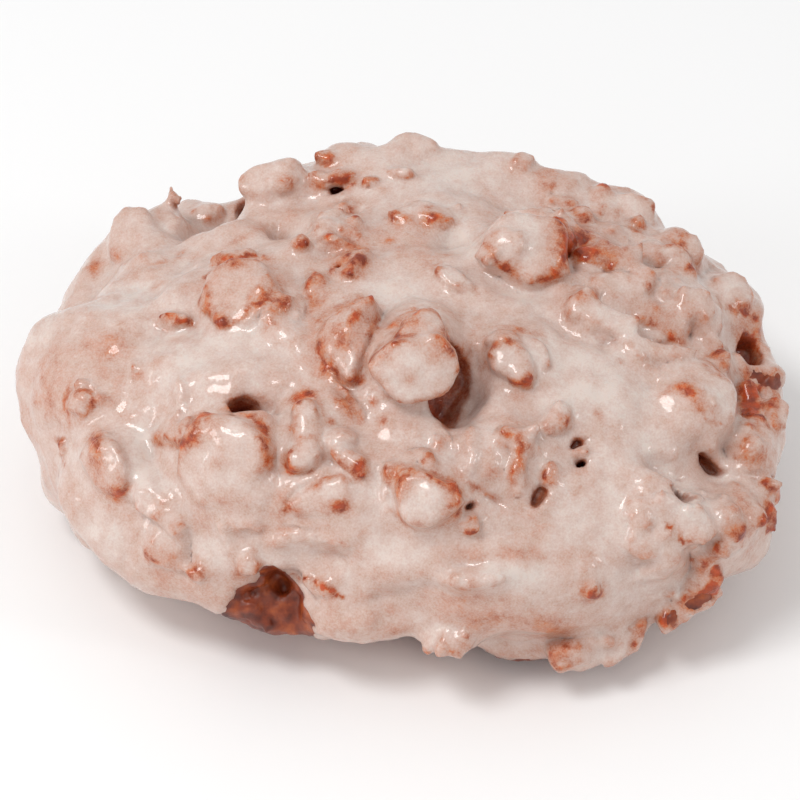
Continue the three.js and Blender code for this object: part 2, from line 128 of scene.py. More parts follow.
# ---- The folds ---------------------------------------------------------------------------------------------
# Soft ridges and creases of the dough that run between the fruit, where one lump of dough lies on the next.
# Each is given by its height in millimetres, below zero for a crease, its half width in millimetres, and the
# line along which it is seen in the picture.
FOLDS = {
    # the left end and the back left
    "streak under the left peak": (0.7, 1.7, (104, 262), (150, 249), (200, 237), (236, 224)),
    "second streak": (0.8, 1.7, (100, 287), (150, 270), (188, 256), (222, 243), (262, 232)),
    "third streak": (0.7, 1.6, (128, 322), (160, 300), (188, 284), (204, 262)),
    "crease": (-0.8, 1.1, (118, 270), (145, 265), (165, 264), (183, 250)),
    "second crease": (-0.8, 1.1, (148, 302), (160, 288), (178, 272), (194, 256)),
    "third crease": (-0.6, 1.1, (96, 300), (120, 300), (140, 286)),
    "peak's foot": (-1.3, 2.0, (184, 216), (180, 232), (165, 243), (138, 250), (110, 258)),
    "back valley": (-7.5, 6.0, (188, 198), (210, 190), (228, 188)),
    "notch's rim": (0.8, 1.6, (238, 226), (254, 212), (262, 196), (268, 184)),
    "swirl": (-0.5, 1.0, (58, 328), (75, 320), (90, 322)),
    "swirl below": (-0.5, 1.0, (75, 372), (88, 362), (98, 350)),
    "ring round the dome": (-0.8, 1.2, (58, 420), (62, 402), (74, 389), (90, 386), (99, 398), (99, 425)),
    "over the oblong": (-0.8, 1.6, (70, 425), (88, 432), (104, 430)),
    "right of the oblong": (-1.1, 1.5, (112, 436), (124, 452), (131, 478), (128, 498)),
    "left crease": (-1.1, 1.3, (118, 420), (135, 434), (148, 446), (157, 460), (166, 486), (176, 510)),
    "lens": (1.0, 2.6, (132, 488), (150, 490), (172, 505)),
    "under the lens": (-1.5, 1.4, (140, 512), (158, 522), (176, 531), (187, 546), (188, 570)),
    "lens's right edge": (-1.0, 1.2, (168, 486), (180, 503), (184, 516)),
    "groove above the teeth": (-1.2, 1.5, (150, 424), (168, 420), (182, 412), (192, 404)),
    "shelf over the mound": (1.2, 2.4, (192, 384), (220, 374), (255, 370), (285, 380)),
    "shelf's left end": (1.4, 1.3, (180, 380), (181, 396), (183, 410)),
    "mound's right": (-1.6, 1.8, (262, 418), (270, 440), (268, 468)),
    "under the mound": (-1.0, 2.0, (268, 478), (248, 498), (215, 506), (185, 500)),
    "under the thin ledge": (-1.0, 1.4, (150, 338), (168, 330), (196, 330)),
    # the middle left
    "left of the shin": (-1.2, 1.6, (284, 400), (280, 430), (276, 465)),
    "right of the shin": (-1.0, 1.5, (324, 402), (328, 430), (326, 462)),
    "round the foot": (-1.2, 1.4, (278, 470), (296, 480), (322, 472), (334, 456)),
    "arc under the foot": (1.7, 1.1, (283, 512), (285, 496), (298, 484), (326, 473)),
    "channel beside the wedge": (-1.5, 1.6, (312, 336), (322, 362), (338, 382), (354, 400), (368, 414)),
    "channel's lip": (1.4, 1.1, (298, 346), (316, 372), (336, 396), (352, 412)),
    "between the wedge and the block": (-2.2, 2.1, (384, 312), (374, 330), (366, 352), (358, 378)),
    "below the block": (-1.0, 2.3, (372, 388), (390, 404), (412, 412), (436, 408)),
    "left of the plate": (-0.9, 1.3, (196, 318), (202, 296), (212, 270)),
    "right of the plate": (-1.5, 1.6, (282, 268), (288, 288), (276, 306), (262, 322), (248, 332)),
    "bank right of the plate": (0.8, 1.3, (276, 330), (292, 312), (300, 296)),
    "crown's left gully": (-1.0, 1.7, (292, 262), (306, 280), (310, 300), (304, 322)),
    "crinkle": (0.7, 1.0, (326, 430), (342, 440), (362, 446)),
    "second crinkle": (0.7, 1.0, (322, 444), (336, 452), (352, 455)),
    # the crown and the back
    "back ledge's foot": (-0.9, 1.6, (262, 205), (290, 200), (318, 200)),
    "band": (0.7, 2.0, (270, 218), (310, 222), (352, 226)),
    "under the top peak": (-0.9, 1.8, (378, 162), (410, 165), (445, 162), (480, 160)),
    "pool above the chip": (-1.3, 3.2, (448, 240), (470, 244)),
    "pool's right bank": (0.8, 1.4, (484, 262), (491, 275), (486, 290)),
    "crown's brow": (0.9, 3.0, (370, 240), (400, 235), (425, 232)),
    "crown's pool": (-1.2, 2.8, (350, 290), (385, 292), (420, 286)),
    "gully under the upper block": (-2.0, 2.0, (488, 268), (500, 280), (520, 290), (545, 290)),
    "bank below it": (0.9, 2.0, (492, 300), (520, 308), (548, 304)),
    # behind and right of the crown
    "crevice": (-1.2, 1.4, (500, 206), (530, 204), (560, 203)),
    "arch": (1.1, 1.4, (566, 256), (578, 244), (596, 232), (616, 228), (640, 240)),
    "under the arch": (-1.3, 1.4, (570, 262), (600, 266), (622, 275)),
    "behind the pearls": (-0.9, 1.4, (600, 215), (625, 222), (650, 232)),
    "between the pearls": (-1.1, 1.2, (638, 250), (640, 268), (625, 280)),
    "swoosh": (1.1, 1.1, (665, 296), (668, 278), (676, 266)),
    "left of the swoosh": (-1.0, 1.1, (656, 300), (656, 280), (662, 262)),
    "orange end's foot": (-1.1, 1.6, (655, 262), (678, 276), (700, 272)),
    "right of the round lump": (-1.1, 1.3, (706, 296), (702, 312), (690, 326)),
    "edge of the leaves": (
        -1.7, 1.4, (540, 312), (560, 328), (584, 340), (604, 345), (622, 334), (650, 336), (680, 348),
        (706, 352),
    ),
    "brow below the leaves": (0.9, 2.5, (560, 346), (600, 358), (650, 352), (690, 364)),
    "first gap between leaves": (-1.1, 1.0, (566, 312), (584, 322), (606, 336)),
    "second gap between leaves": (-1.1, 1.0, (630, 312), (648, 326), (672, 342)),
    "third gap between leaves": (-0.9, 1.0, (596, 302), (622, 312), (640, 322)),
    "gully by the long lump": (-1.3, 1.2, (692, 318), (694, 334), (696, 350)),
    # the right end
    "brow over the recess": (1.2, 2.0, (726, 384), (734, 404), (736, 424), (722, 444)),
    "recess": (-2.8, 2.4, (749, 378), (748, 404), (745, 426), (733, 446)),
    "recess by the knob": (-2.0, 2.6, (733, 452), (741, 462), (756, 468)),
    "second recess": (-1.2, 1.5, (765, 392), (766, 412), (764, 432)),
    "gully": (-1.7, 1.6, (694, 448), (706, 462), (722, 476), (740, 482)),
    "bank right of the gully": (0.9, 1.7, (712, 452), (728, 464), (748, 470)),
    "over the lower ridge": (-1.7, 1.9, (664, 484), (686, 496), (706, 508)),
    "lower ridge's right foot": (-1.7, 1.6, (712, 512), (708, 534), (700, 556), (694, 572)),
    "crack": (-1.1, 1.0, (660, 514), (674, 526), (686, 544), (692, 562)),
    "white lumps' foot": (-0.9, 1.2, (636, 566), (654, 578), (674, 572)),
    "right lump": (1.0, 3.0, (735, 505), (752, 520)),
    "right lump's crease": (-0.9, 1.1, (760, 492), (768, 508), (766, 528)),
    "seam": (-0.7, 1.0, (656, 368), (663, 382), (652, 390)),
    "seam's bank": (0.9, 1.4, (664, 392), (682, 384), (700, 392), (716, 404)),
    # the middle and the front
    "crease by the round block": (-1.6, 1.3, (446, 462), (462, 478), (482, 492), (500, 502)),
    "left of the round block": (-1.2, 1.5, (388, 478), (388, 500), (398, 520)),
    "below the round block": (-1.0, 1.7, (405, 530), (430, 532), (455, 524)),
    "ridge with a light": (1.3, 1.4, (470, 438), (473, 455), (466, 472)),
    "crease from the pocket": (-0.9, 1.1, (450, 434), (436, 444), (418, 452), (404, 462)),
    "left of the hook": (-0.9, 1.4, (500, 430), (510, 450), (508, 478)),
    "slanting pit's lip": (0.9, 1.1, (556, 470), (548, 500), (534, 516)),
    "bank by the holes": (0.9, 1.7, (540, 432), (556, 420), (568, 410)),
    "under the front plate": (-0.9, 1.4, (288, 522), (318, 528), (352, 522)),
    "band with lights": (1.5, 1.4, (272, 545), (285, 536), (318, 538), (345, 544)),
    "bank by the nub": (1.5, 1.1, (222, 527), (229, 543), (238, 556)),
    "small arc": (1.1, 0.9, (238, 527), (250, 523), (259, 528)),
    "bank left of the round block": (1.6, 1.0, (391, 480), (388, 495), (391, 512)),
    "bank right of the oblong": (1.1, 1.0, (123, 442), (131, 466), (132, 490)),
    "edge of the front plate": (0.9, 0.9, (286, 524), (315, 526), (345, 524)),
    "low band": (-0.7, 1.5, (262, 552), (300, 556), (345, 560)),
    "front ridge": (1.5, 1.4, (448, 580), (475, 582), (500, 577)),
    "over the front ridge": (-0.9, 1.3, (455, 568), (480, 566), (505, 562)),
    "front swell": (0.9, 3.4, (500, 570), (540, 568), (580, 575)),
    "right front crease": (-0.7, 1.4, (535, 556), (560, 560), (590, 556)),
    "low crease": (-0.8, 1.2, (380, 602), (405, 594), (435, 588)),
    "low lobe's edge": (-1.1, 1.2, (330, 616), (352, 612), (376, 602), (384, 620)),
    "bottom lobe's edge": (-1.0, 1.2, (432, 622), (450, 628), (500, 640), (540, 652)),
    "lens at the bottom": (-1.3, 1.3, (536, 644), (556, 640), (578, 648)),
    "arch over the gap": (
        1.3, 1.3, (238, 584), (256, 582), (263, 568), (273, 562), (292, 575), (304, 592), (306, 612),
    ),
    "front gap": (-1.6, 4.0, (268, 598), (275, 606)),
    "bank right of the pocket": (1.0, 1.9, (490, 344), (497, 372), (490, 402), (468, 436)),
    # the outline
    "left bottom": (1.7, 6.0, (46, 470), (60, 510), (90, 548), (125, 572), (152, 584)),
    "back edge left of the top": (2.6, 4.0, (340, 152), (365, 148), (388, 142)),
    "back edge right of the top": (1.4, 4.0, (446, 152), (475, 150), (505, 156)),
    "back edge of the right": (1.0, 4.0, (535, 160), (575, 175)),
    "back ledge's dip": (-0.8, 4.0, (300, 160), (322, 156)),
    "left lobe's top": (1.6, 4.0, (24, 345), (36, 325), (52, 308)),
    "left back edge": (-3.4, 5.0, (72, 296), (92, 262), (104, 240)),
    "left tip": (-0.9, 4.0, (22, 350), (24, 400), (34, 440)),
    "right edge above": (-2.2, 3.5, (706, 262), (726, 268)),
    "right edge": (-3.4, 4.0, (768, 350), (778, 372)),
    "right edge below": (-0.9, 5.0, (786, 460), (786, 500)),
    "low right edge": (-1.2, 5.0, (770, 545), (745, 575), (720, 600)),
    "bottom right edge": (-1.0, 4.0, (700, 620), (665, 632)),
    "bottom left edge": (-0.8, 4.0, (165, 594), (190, 604)),
    "bottom of the gap": (1.2, 4.0, (235, 618), (262, 624)),
    "bottom": (1.6, 4.0, (320, 634), (360, 636), (398, 630)),
    "bottom bulge": (2.4, 3.6, (432, 644), (455, 652), (470, 646)),
    "bottom right of it": (1.4, 4.5, (490, 648), (520, 658), (550, 662)),
    "last bulge": (0.7, 3.6, (590, 662), (615, 664), (630, 656)),
}
GLAZED = 0.5  # millimetres that the glaze and the blisters will add to the form
LINE_STEP = 5  # pixels from one point of a line to the next
PULLED_IN = (1, 0.99, 0.98, 0.97, 0.96, 0.94, 0.92, 0.9, 0.85)  # tried in turn for a pixel just off the dough


def ray_through(pixel):
    """The way from the viewer's eye through a pixel of the picture."""
    focal = PICTURE * VIEW_DISTANCE / VIEW_WIDTH
    u, v = (pixel[0] - AIM_PIXEL[0]) / focal, (AIM_PIXEL[1] - pixel[1]) / focal
    return view_right * u + view_up * v - to_viewer


def seen_at(pixel):
    """The point of the dough that shows at a pixel, with the lie of the dough there, past its small bumps."""
    for pulled_in in PULLED_IN:
        nearer = [aim + (value - aim) * pulled_in for value, aim in zip(pixel, AIM_PIXEL)]
        place = dough_surface.ray_cast(eye, ray_through(nearer).normalized())[0]
        if place is not None:
            return place, swell_surface.find_nearest(place)[1]
    raise ValueError(f"no dough shows at {pixel}")


def places(piece):
    """The piece's vertices as rows of x, y and z."""
    found = np.empty(len(piece.data.vertices) * 3)
    piece.data.vertices.foreach_get("co", found)
    return found.reshape(-1, 3)


def near_line(points, line, width):
    """How near to a seen line each point lies: 1 on it, and nearly 0 two widths away."""
    squared = np.full(len(points), np.inf)
    for (u, v), (next_u, next_v) in zip(line, line[1:]):
        steps = max(1, round(math.hypot(next_u - u, next_v - v) / LINE_STEP))
        for step in range(steps + 1):
            share = step / steps
            place, _ = seen_at((u + (next_u - u) * share, v + (next_v - v) * share))
            squared = np.minimum(squared, ((points - np.array(place)) ** 2).sum(1))
    return np.exp(-squared / (width * MM) ** 2)


def surface_of(piece):
    return BVHTree.FromObject(piece, bpy.context.evaluated_depsgraph_get())


def normals_of(piece):
    found = np.empty(len(piece.data.vertices) * 3)
    piece.data.vertices.foreach_get("normal", found)
    return found.reshape(-1, 3)


def move_to(piece, points):
    piece.data.vertices.foreach_set("co", points.ravel())
    piece.data.update()


swells = copy_of(dough, "swells")
smooth(swells, SWELLS_ONLY)
dough_surface = surface_of(dough)
swell_surface = surface_of(swells)
skin = places(dough)
height = np.full(len(skin), -GLAZED)
for rise, width, *line in FOLDS.values():
    height += rise * near_line(skin, line, width)
skin += normals_of(swells) * height[:, None] * MM


# ---- The diced fruit ---------------------------------------------------------------------------------------
# Blocks of fruit, cut by hand and folded into the dough before frying. They lie half sunk in it, with edges
# that cooking has rounded. Each has its depth in millimetres, the corners of its face as they are seen in the
# picture, each with how far it stands out of the dough in millimetres, and last the middle of the face.
FRUIT = {
    "big block": (
        13, (367, 367, 2.8), (393, 342, 3.4), (444, 334, 3.8), (463, 373, 3.4), (446, 391, 3.2),
        (405, 407, 3.2), (386, 391, 2.8), (414, 370, 4.0),
    ),
    "big block's end": (
        12, (396, 334, 2.4), (402, 318, 1.8), (420, 307, 1.4), (436, 310, 1.8), (444, 324, 2.6),
        (444, 338, 2.8), (410, 346, 2.8), (424, 322, 3.6),
    ),
    "wedge": (
        10, (373, 290, 2.8), (374, 314, 1.2), (363, 350, 1.0), (350, 380, 0.6), (334, 364, 0.9),
        (317, 340, 0.9), (326, 316, 1.3), (352, 304, 2.2), (347, 328, 3.6),
    ),
    "chip": (
        8, (433, 267, 1.0), (450, 263, 1.2), (477, 283, 1.2), (472, 293, 1.0), (450, 290, 1.0),
        (455, 277, 1.3),
    ),
    "upper block": (
        11, (484, 240, 1.0), (492, 222, 1.2), (512, 211, 1.4), (548, 214, 1.8), (567, 224, 1.8),
        (565, 256, 1.6), (550, 276, 1.4), (532, 284, 1.0), (508, 268, 1.0), (524, 242, 2.4),
    ),
    "left plate": (
        8, (202, 286, 0.8), (212, 268, 0.9), (228, 258, 0.8), (258, 256, 0.8), (268, 270, 1.0),
        (276, 292, 1.4), (254, 306, 1.1), (240, 320, 1.1), (222, 325, 1.0), (208, 306, 0.9), (238, 288, 1.2),
    ),
    "right knob's rim": (
        8, (484, 336, 1.4), (499, 328, 1.4), (518, 332, 1.4), (514, 343, 1.4), (488, 343, 1.2),
        (500, 336, 1.7),
    ),
    "right knob": (
        9, (487, 352, 1.0), (500, 344, 0.4), (520, 346, 0.5), (532, 366, 0.9), (527, 386, 1.2),
        (512, 379, 1.2), (492, 366, 1.1), (512, 362, 1.0),
    ),
    "right knob's far rim": (
        8, (524, 336, 1.0), (538, 334, 1.1), (549, 348, 1.1), (551, 366, 0.9), (544, 368, 0.4),
        (534, 348, 0.4), (540, 346, 1.0),
    ),
    "mound": (
        10, (180, 436, 0.0), (194, 420, 0.8), (222, 415, 1.4), (248, 421, 1.6), (265, 440, 1.3),
        (262, 466, 0.3), (236, 504, -3.0), (198, 504, -3.0), (176, 470, -3.0), (222, 444, 1.5),
    ),
    "first tooth": (
        8, (172, 443, 1.4), (177, 425, 1.6), (188, 413, 1.8), (191, 430, 1.8), (185, 447, 1.4),
        (182, 430, 2.2),
    ),
    "second tooth": (
        8, (194, 434, 1.8), (197, 412, 2.2), (206, 413, 2.2), (213, 430, 2.2), (207, 444, 1.8),
        (203, 427, 2.6),
    ),
    "shin": (
        8, (294, 402, 1.4), (311, 396, 1.4), (318, 408, 1.4), (318, 448, 1.4), (296, 452, 1.4),
        (305, 425, 2.0),
    ),
    "foot": (
        8, (286, 452, 1.4), (314, 440, 1.4), (322, 455, 1.4), (312, 467, 1.4), (292, 472, 1.4),
        (303, 457, 2.0),
    ),
    "round block": (
        10, (394, 488, 1.2), (400, 474, 1.4), (416, 470, 1.5), (436, 478, 1.7), (454, 492, 1.8),
        (458, 504, 1.6), (447, 518, 1.2), (424, 526, 0.8), (404, 520, 0.8), (426, 498, 2.0),
    ),
    "left oblong": (
        8, (80, 458, -1.0), (92, 441, 1.0), (111, 440, 1.5), (122, 462, 1.5), (127, 484, 1.5),
        (114, 496, 1.0), (92, 486, -1.2), (107, 466, 1.8),
    ),
    "left dome": (
        8, (63, 407, 0.8), (69, 392, 1.0), (86, 389, 1.0), (94, 403, 1.0), (83, 417, 0.8), (79, 402, 1.6),
    ),
    "front plate": (
        8, (286, 509, 0.6), (296, 494, 0.9), (314, 484, 0.9), (344, 478, 0.8), (352, 492, 0.6),
        (346, 510, 0.4), (320, 520, -1.5), (300, 518, -0.6), (320, 498, 1.1),
    ),
    "orange end": (
        8, (655, 252, 1.2), (669, 242, 1.4), (690, 248, 1.5), (693, 272, 1.2), (672, 270, 1.0),
        (677, 256, 1.9),
    ),
    "round end": (
        8, (683, 236, 1.2), (699, 234, 1.2), (705, 250, 1.2), (700, 266, 1.0), (689, 254, 1.2),
        (695, 248, 1.8),
    ),
    "back block": (
        8, (591, 188, 1.2), (602, 181, 1.2), (614, 188, 1.4), (612, 206, 1.0), (594, 202, 1.0),
        (602, 193, 1.8),
    ),
    "back corner": (
        9, (622, 190, 1.4), (655, 198, 2.0), (657, 222, 2.0), (636, 224, 1.2), (620, 208, 1.0),
        (642, 206, 2.2),
    ),
    "right corner": (
        9, (713, 277, 1.4), (727, 270, 1.2), (748, 276, 1.4), (756, 295, 1.2), (738, 312, 1.0),
        (718, 305, 1.2), (735, 290, 2.0),
    ),
    "lower left nub": (
        8, (236, 574, 1.2), (240, 558, 1.4), (251, 553, 1.4), (259, 566, 1.4), (256, 581, 1.2),
        (248, 568, 2.0),
    ),
    "knob in the recess": (
        8, (742, 456, 0.2), (748, 437, 0.6), (761, 434, 0.6), (767, 450, 0.4), (755, 462, 0.2),
        (756, 446, 1.0),
    ),
}
FLARE = 1.12  # a block is wider at its sunk foot than at its face
UNDERCUT = {"big block": 0.8, "big block's end": 0.85}  # but these are narrower there
PROUD = 0.6  # millimetres that all the blocks stand out beyond what is given
LIKE_DOUGH, LIKE_VIEW = 0.6, 0.4  # a block faces as the dough does, and a little towards the viewer
ROUNDED = 0.55 * MM  # its edges
LOW_AROUND = 3  # millimetres by which the low dough under a block is wider and higher than the block
SUNK = 0.8  # the share of the way down to the swells that this dough lies lower
SKIN = 0.5 * MM  # the side of a face from here on


def facing_at(normal):
    return (normal * LIKE_DOUGH + to_viewer * LIKE_VIEW).normalized()


def piece_from(name, corners, faces, rounding):
    """A closed block from its corners, with its edges rounded."""
    mesh = bpy.data.meshes.new(name)
    mesh.from_pydata(corners, [], faces)
    made = bpy.data.objects.new(name.replace(" ", "_").replace("'", ""), mesh)
    bpy.context.collection.objects.link(made)
    only(made)
    bpy.ops.object.mode_set(mode="EDIT")
    bpy.ops.mesh.select_all(action="SELECT")
    bpy.ops.mesh.normals_make_consistent(inside=False)
    bpy.ops.object.mode_set(mode="OBJECT")
    finish_with(made, "BEVEL", width=rounding, segments=3, limit_method="ANGLE", angle_limit=math.radians(25))
    return made


def slab(name, rim, centre, facing, deep, foot, rounding):
    """A block with a rim that is seen and a foot ring, narrower or wider than the rim, that lies deeper."""
    sunk = [centre + (corner - centre) * foot - facing * deep * MM for corner in rim]
    count = len(rim)
    around = [(i, (i + 1) % count) for i in range(count)]
    faces = [(i, j, 2 * count) for i, j in around]
    faces += [(j, i, count + i, count + j) for i, j in around]
    faces.append([count + i for i in reversed(range(count))])
    return piece_from(name, rim + sunk + [centre], faces, rounding)


def on_level(pixel, level, facing):
    """The point of a flat level that is seen at a pixel."""
    ray = ray_through(pixel)
    return eye + ray * (level - eye).dot(facing) / ray.dot(facing)


def smooth_step(low, high, value):
    t = np.clip((value - low) / (high - low), 0, 1)
    return t * t * (3 - 2 * t)


def round_about(points, pixel, size, reach=0.7):
    """Which points lie near what shows at a pixel, and how far to its right and above it they are seen."""
    away = points - np.array(seen_at(pixel)[0])
    near = (away**2).sum(1) < (reach * max(size) * MM + 4 * MM) ** 2
    return near, away[near] @ np.array(view_right), away[near] @ np.array(view_up)


def patch(points, pixel, size, turn, softness):
    """How far inside an oval patch each point lies, as the viewer sees it: 1 in it and 0 outside."""
    near, x, y = round_about(points, pixel, size)
    angle = math.radians(turn)
    a = (x * math.cos(angle) + y * math.sin(angle)) / (size[0] * MM / 2)
    b = (y * math.cos(angle) - x * math.sin(angle)) / (size[1] * MM / 2)
    inside = np.zeros(len(points))
    inside[near] = 1 - smooth_step(1 - softness, 1 + softness, np.hypot(a, b))
    return inside


def face_block(name, deep, corners):
    """A block whose face has the outline that is seen, lying as the dough there does."""
    middle, normal = seen_at(corners[-1][:2])
    facing = facing_at(normal)
    face = [on_level((u, v), middle + facing * (out + PROUD) * MM, facing) for u, v, out in corners]
    centre = face.pop()
    return slab(name, face, centre, facing, deep, UNDERCUT.get(name, FLARE), ROUNDED)


def seen_span(outline):
    """The middle of an outline in the picture, and its width and height in millimetres."""
    spans = [(min(values), max(values)) for values in list(zip(*outline))[:2]]
    return [sum(span) / 2 for span in spans], [(high - low) / PIXELS_PER_MM for low, high in spans]


# The dough lies low all round a block, and the block alone makes the height.
share = np.zeros(len(skin))
for _, *corners in FRUIT.values():
    middle, size = seen_span(corners)
    share = np.maximum(share, patch(skin, middle, [side + LOW_AROUND for side in size], 0, softness=0.35))
skin += (places(swells) - skin) * (SUNK * share)[:, None]
move_to(dough, skin)
even_skin(dough, SKIN)
dough_surface = surface_of(dough)
parts = [face_block(name, deep, corners) for name, (deep, *corners) in FRUIT.items()]


# ---- The pockets -------------------------------------------------------------------------------------------
# Gaps where the dough didn't close round the fruit. Each is given by how deep it goes in millimetres and the
# outline of its mouth as it is seen in the picture.
POCKETS = {
    "beside the big block": (
        4.0, (446, 336), (464, 347), (481, 361), (484, 386), (473, 406), (451, 434), (430, 419), (424, 400),
        (440, 370),
    ),
    "over the mound": (7, (227, 398), (246, 393), (264, 399), (269, 411), (264, 421), (246, 423), (230, 416)),
    "over the mound, right": (3, (265, 408), (272, 405), (276, 410), (268, 414)),
    "crust hole": (4.4, (731, 350), (741, 331), (760, 334), (767, 353), (759, 370), (740, 371)),
    "shelf's hollow": (2.5, (762, 388), (772, 384), (780, 390), (776, 398), (765, 397)),
    "gully": (3.0, (692, 447), (702, 450), (714, 461), (728, 474), (722, 482), (706, 476), (696, 464)),
    "ridge's crevice": (
        4.5, (667, 484), (680, 480), (693, 491), (708, 503), (704, 511), (690, 505), (675, 496),
    ),
    "ridge's pit": (2.5, (653, 488), (660, 484), (664, 491), (657, 495)),
    "slanting pit": (2.2, (528, 508), (531, 492), (541, 480), (549, 482), (548, 495), (536, 511)),
    "crevice behind": (5, (530, 206), (545, 208), (566, 208), (567, 214), (545, 215), (530, 213)),
    "brown recess": (2.5, (563, 235), (575, 231), (590, 236), (588, 247), (570, 250)),
    "cave in the crown": (5, (327, 178), (340, 176), (351, 180), (345, 192), (333, 199), (326, 190)),
    "crag's pit": (3, (323, 272), (335, 263), (345, 262), (342, 275), (330, 282)),
    "back notch": (5, (232, 215), (236, 203), (243, 195), (249, 203), (244, 215)),
    "by the left peak": (2.5, (169, 203), (175, 196), (178, 206), (173, 214)),
    "under the round block": (3, (461, 506), (471, 500), (482, 503), (476, 512), (464, 515)),
    "lower hole": (6, (571, 463), (580, 457), (590, 459), (587, 469), (574, 472)),
    "upper hole": (2.6, (567, 448), (572, 438), (586, 435), (584, 446), (573, 453)),
    "red pit": (2, (645, 517), (652, 513), (660, 517), (655, 523)),
    "crack": (2.5, (668, 526), (676, 528), (690, 545), (696, 556), (688, 558), (680, 546)),
    "left slit": (2, (57, 438), (61, 437), (66, 452), (67, 463), (61, 458)),
    "dark slit at the right": (4, (767, 478), (775, 473), (780, 478), (772, 484)),
}
MOUTH = 1.05  # a pocket is wider above its mouth
FLOOR = 0.75  # and narrower at its floor
ABOVE = 3  # millimetres over the dough that its cutter starts
POCKET_EDGES = 0.3 * MM
POCKET_SKIN = 0.3 * MM

cutters = []
for name, (deep, *mouth) in POCKETS.items():
    middle = [sum(values) / len(mouth) for values in zip(*mouth)]
    place, normal = seen_at(middle)
    facing = facing_at(normal)
    centre = place + facing * ABOVE * MM
    rim = [centre + (on_level(corner, place, facing) - place) * MOUTH for corner in mouth]
    cutters.append(slab(name, rim, centre, facing, ABOVE + deep, FLOOR, POCKET_EDGES))
only(cutters[0])
for cutter in cutters:
    cutter.select_set(True)
bpy.ops.object.join()
pockets = bpy.context.object
even_skin(pockets, POCKET_SKIN)
finish_with(dough, "BOOLEAN", object=pockets, operation="DIFFERENCE", solver="MANIFOLD")
bpy.data.objects.remove(pockets)


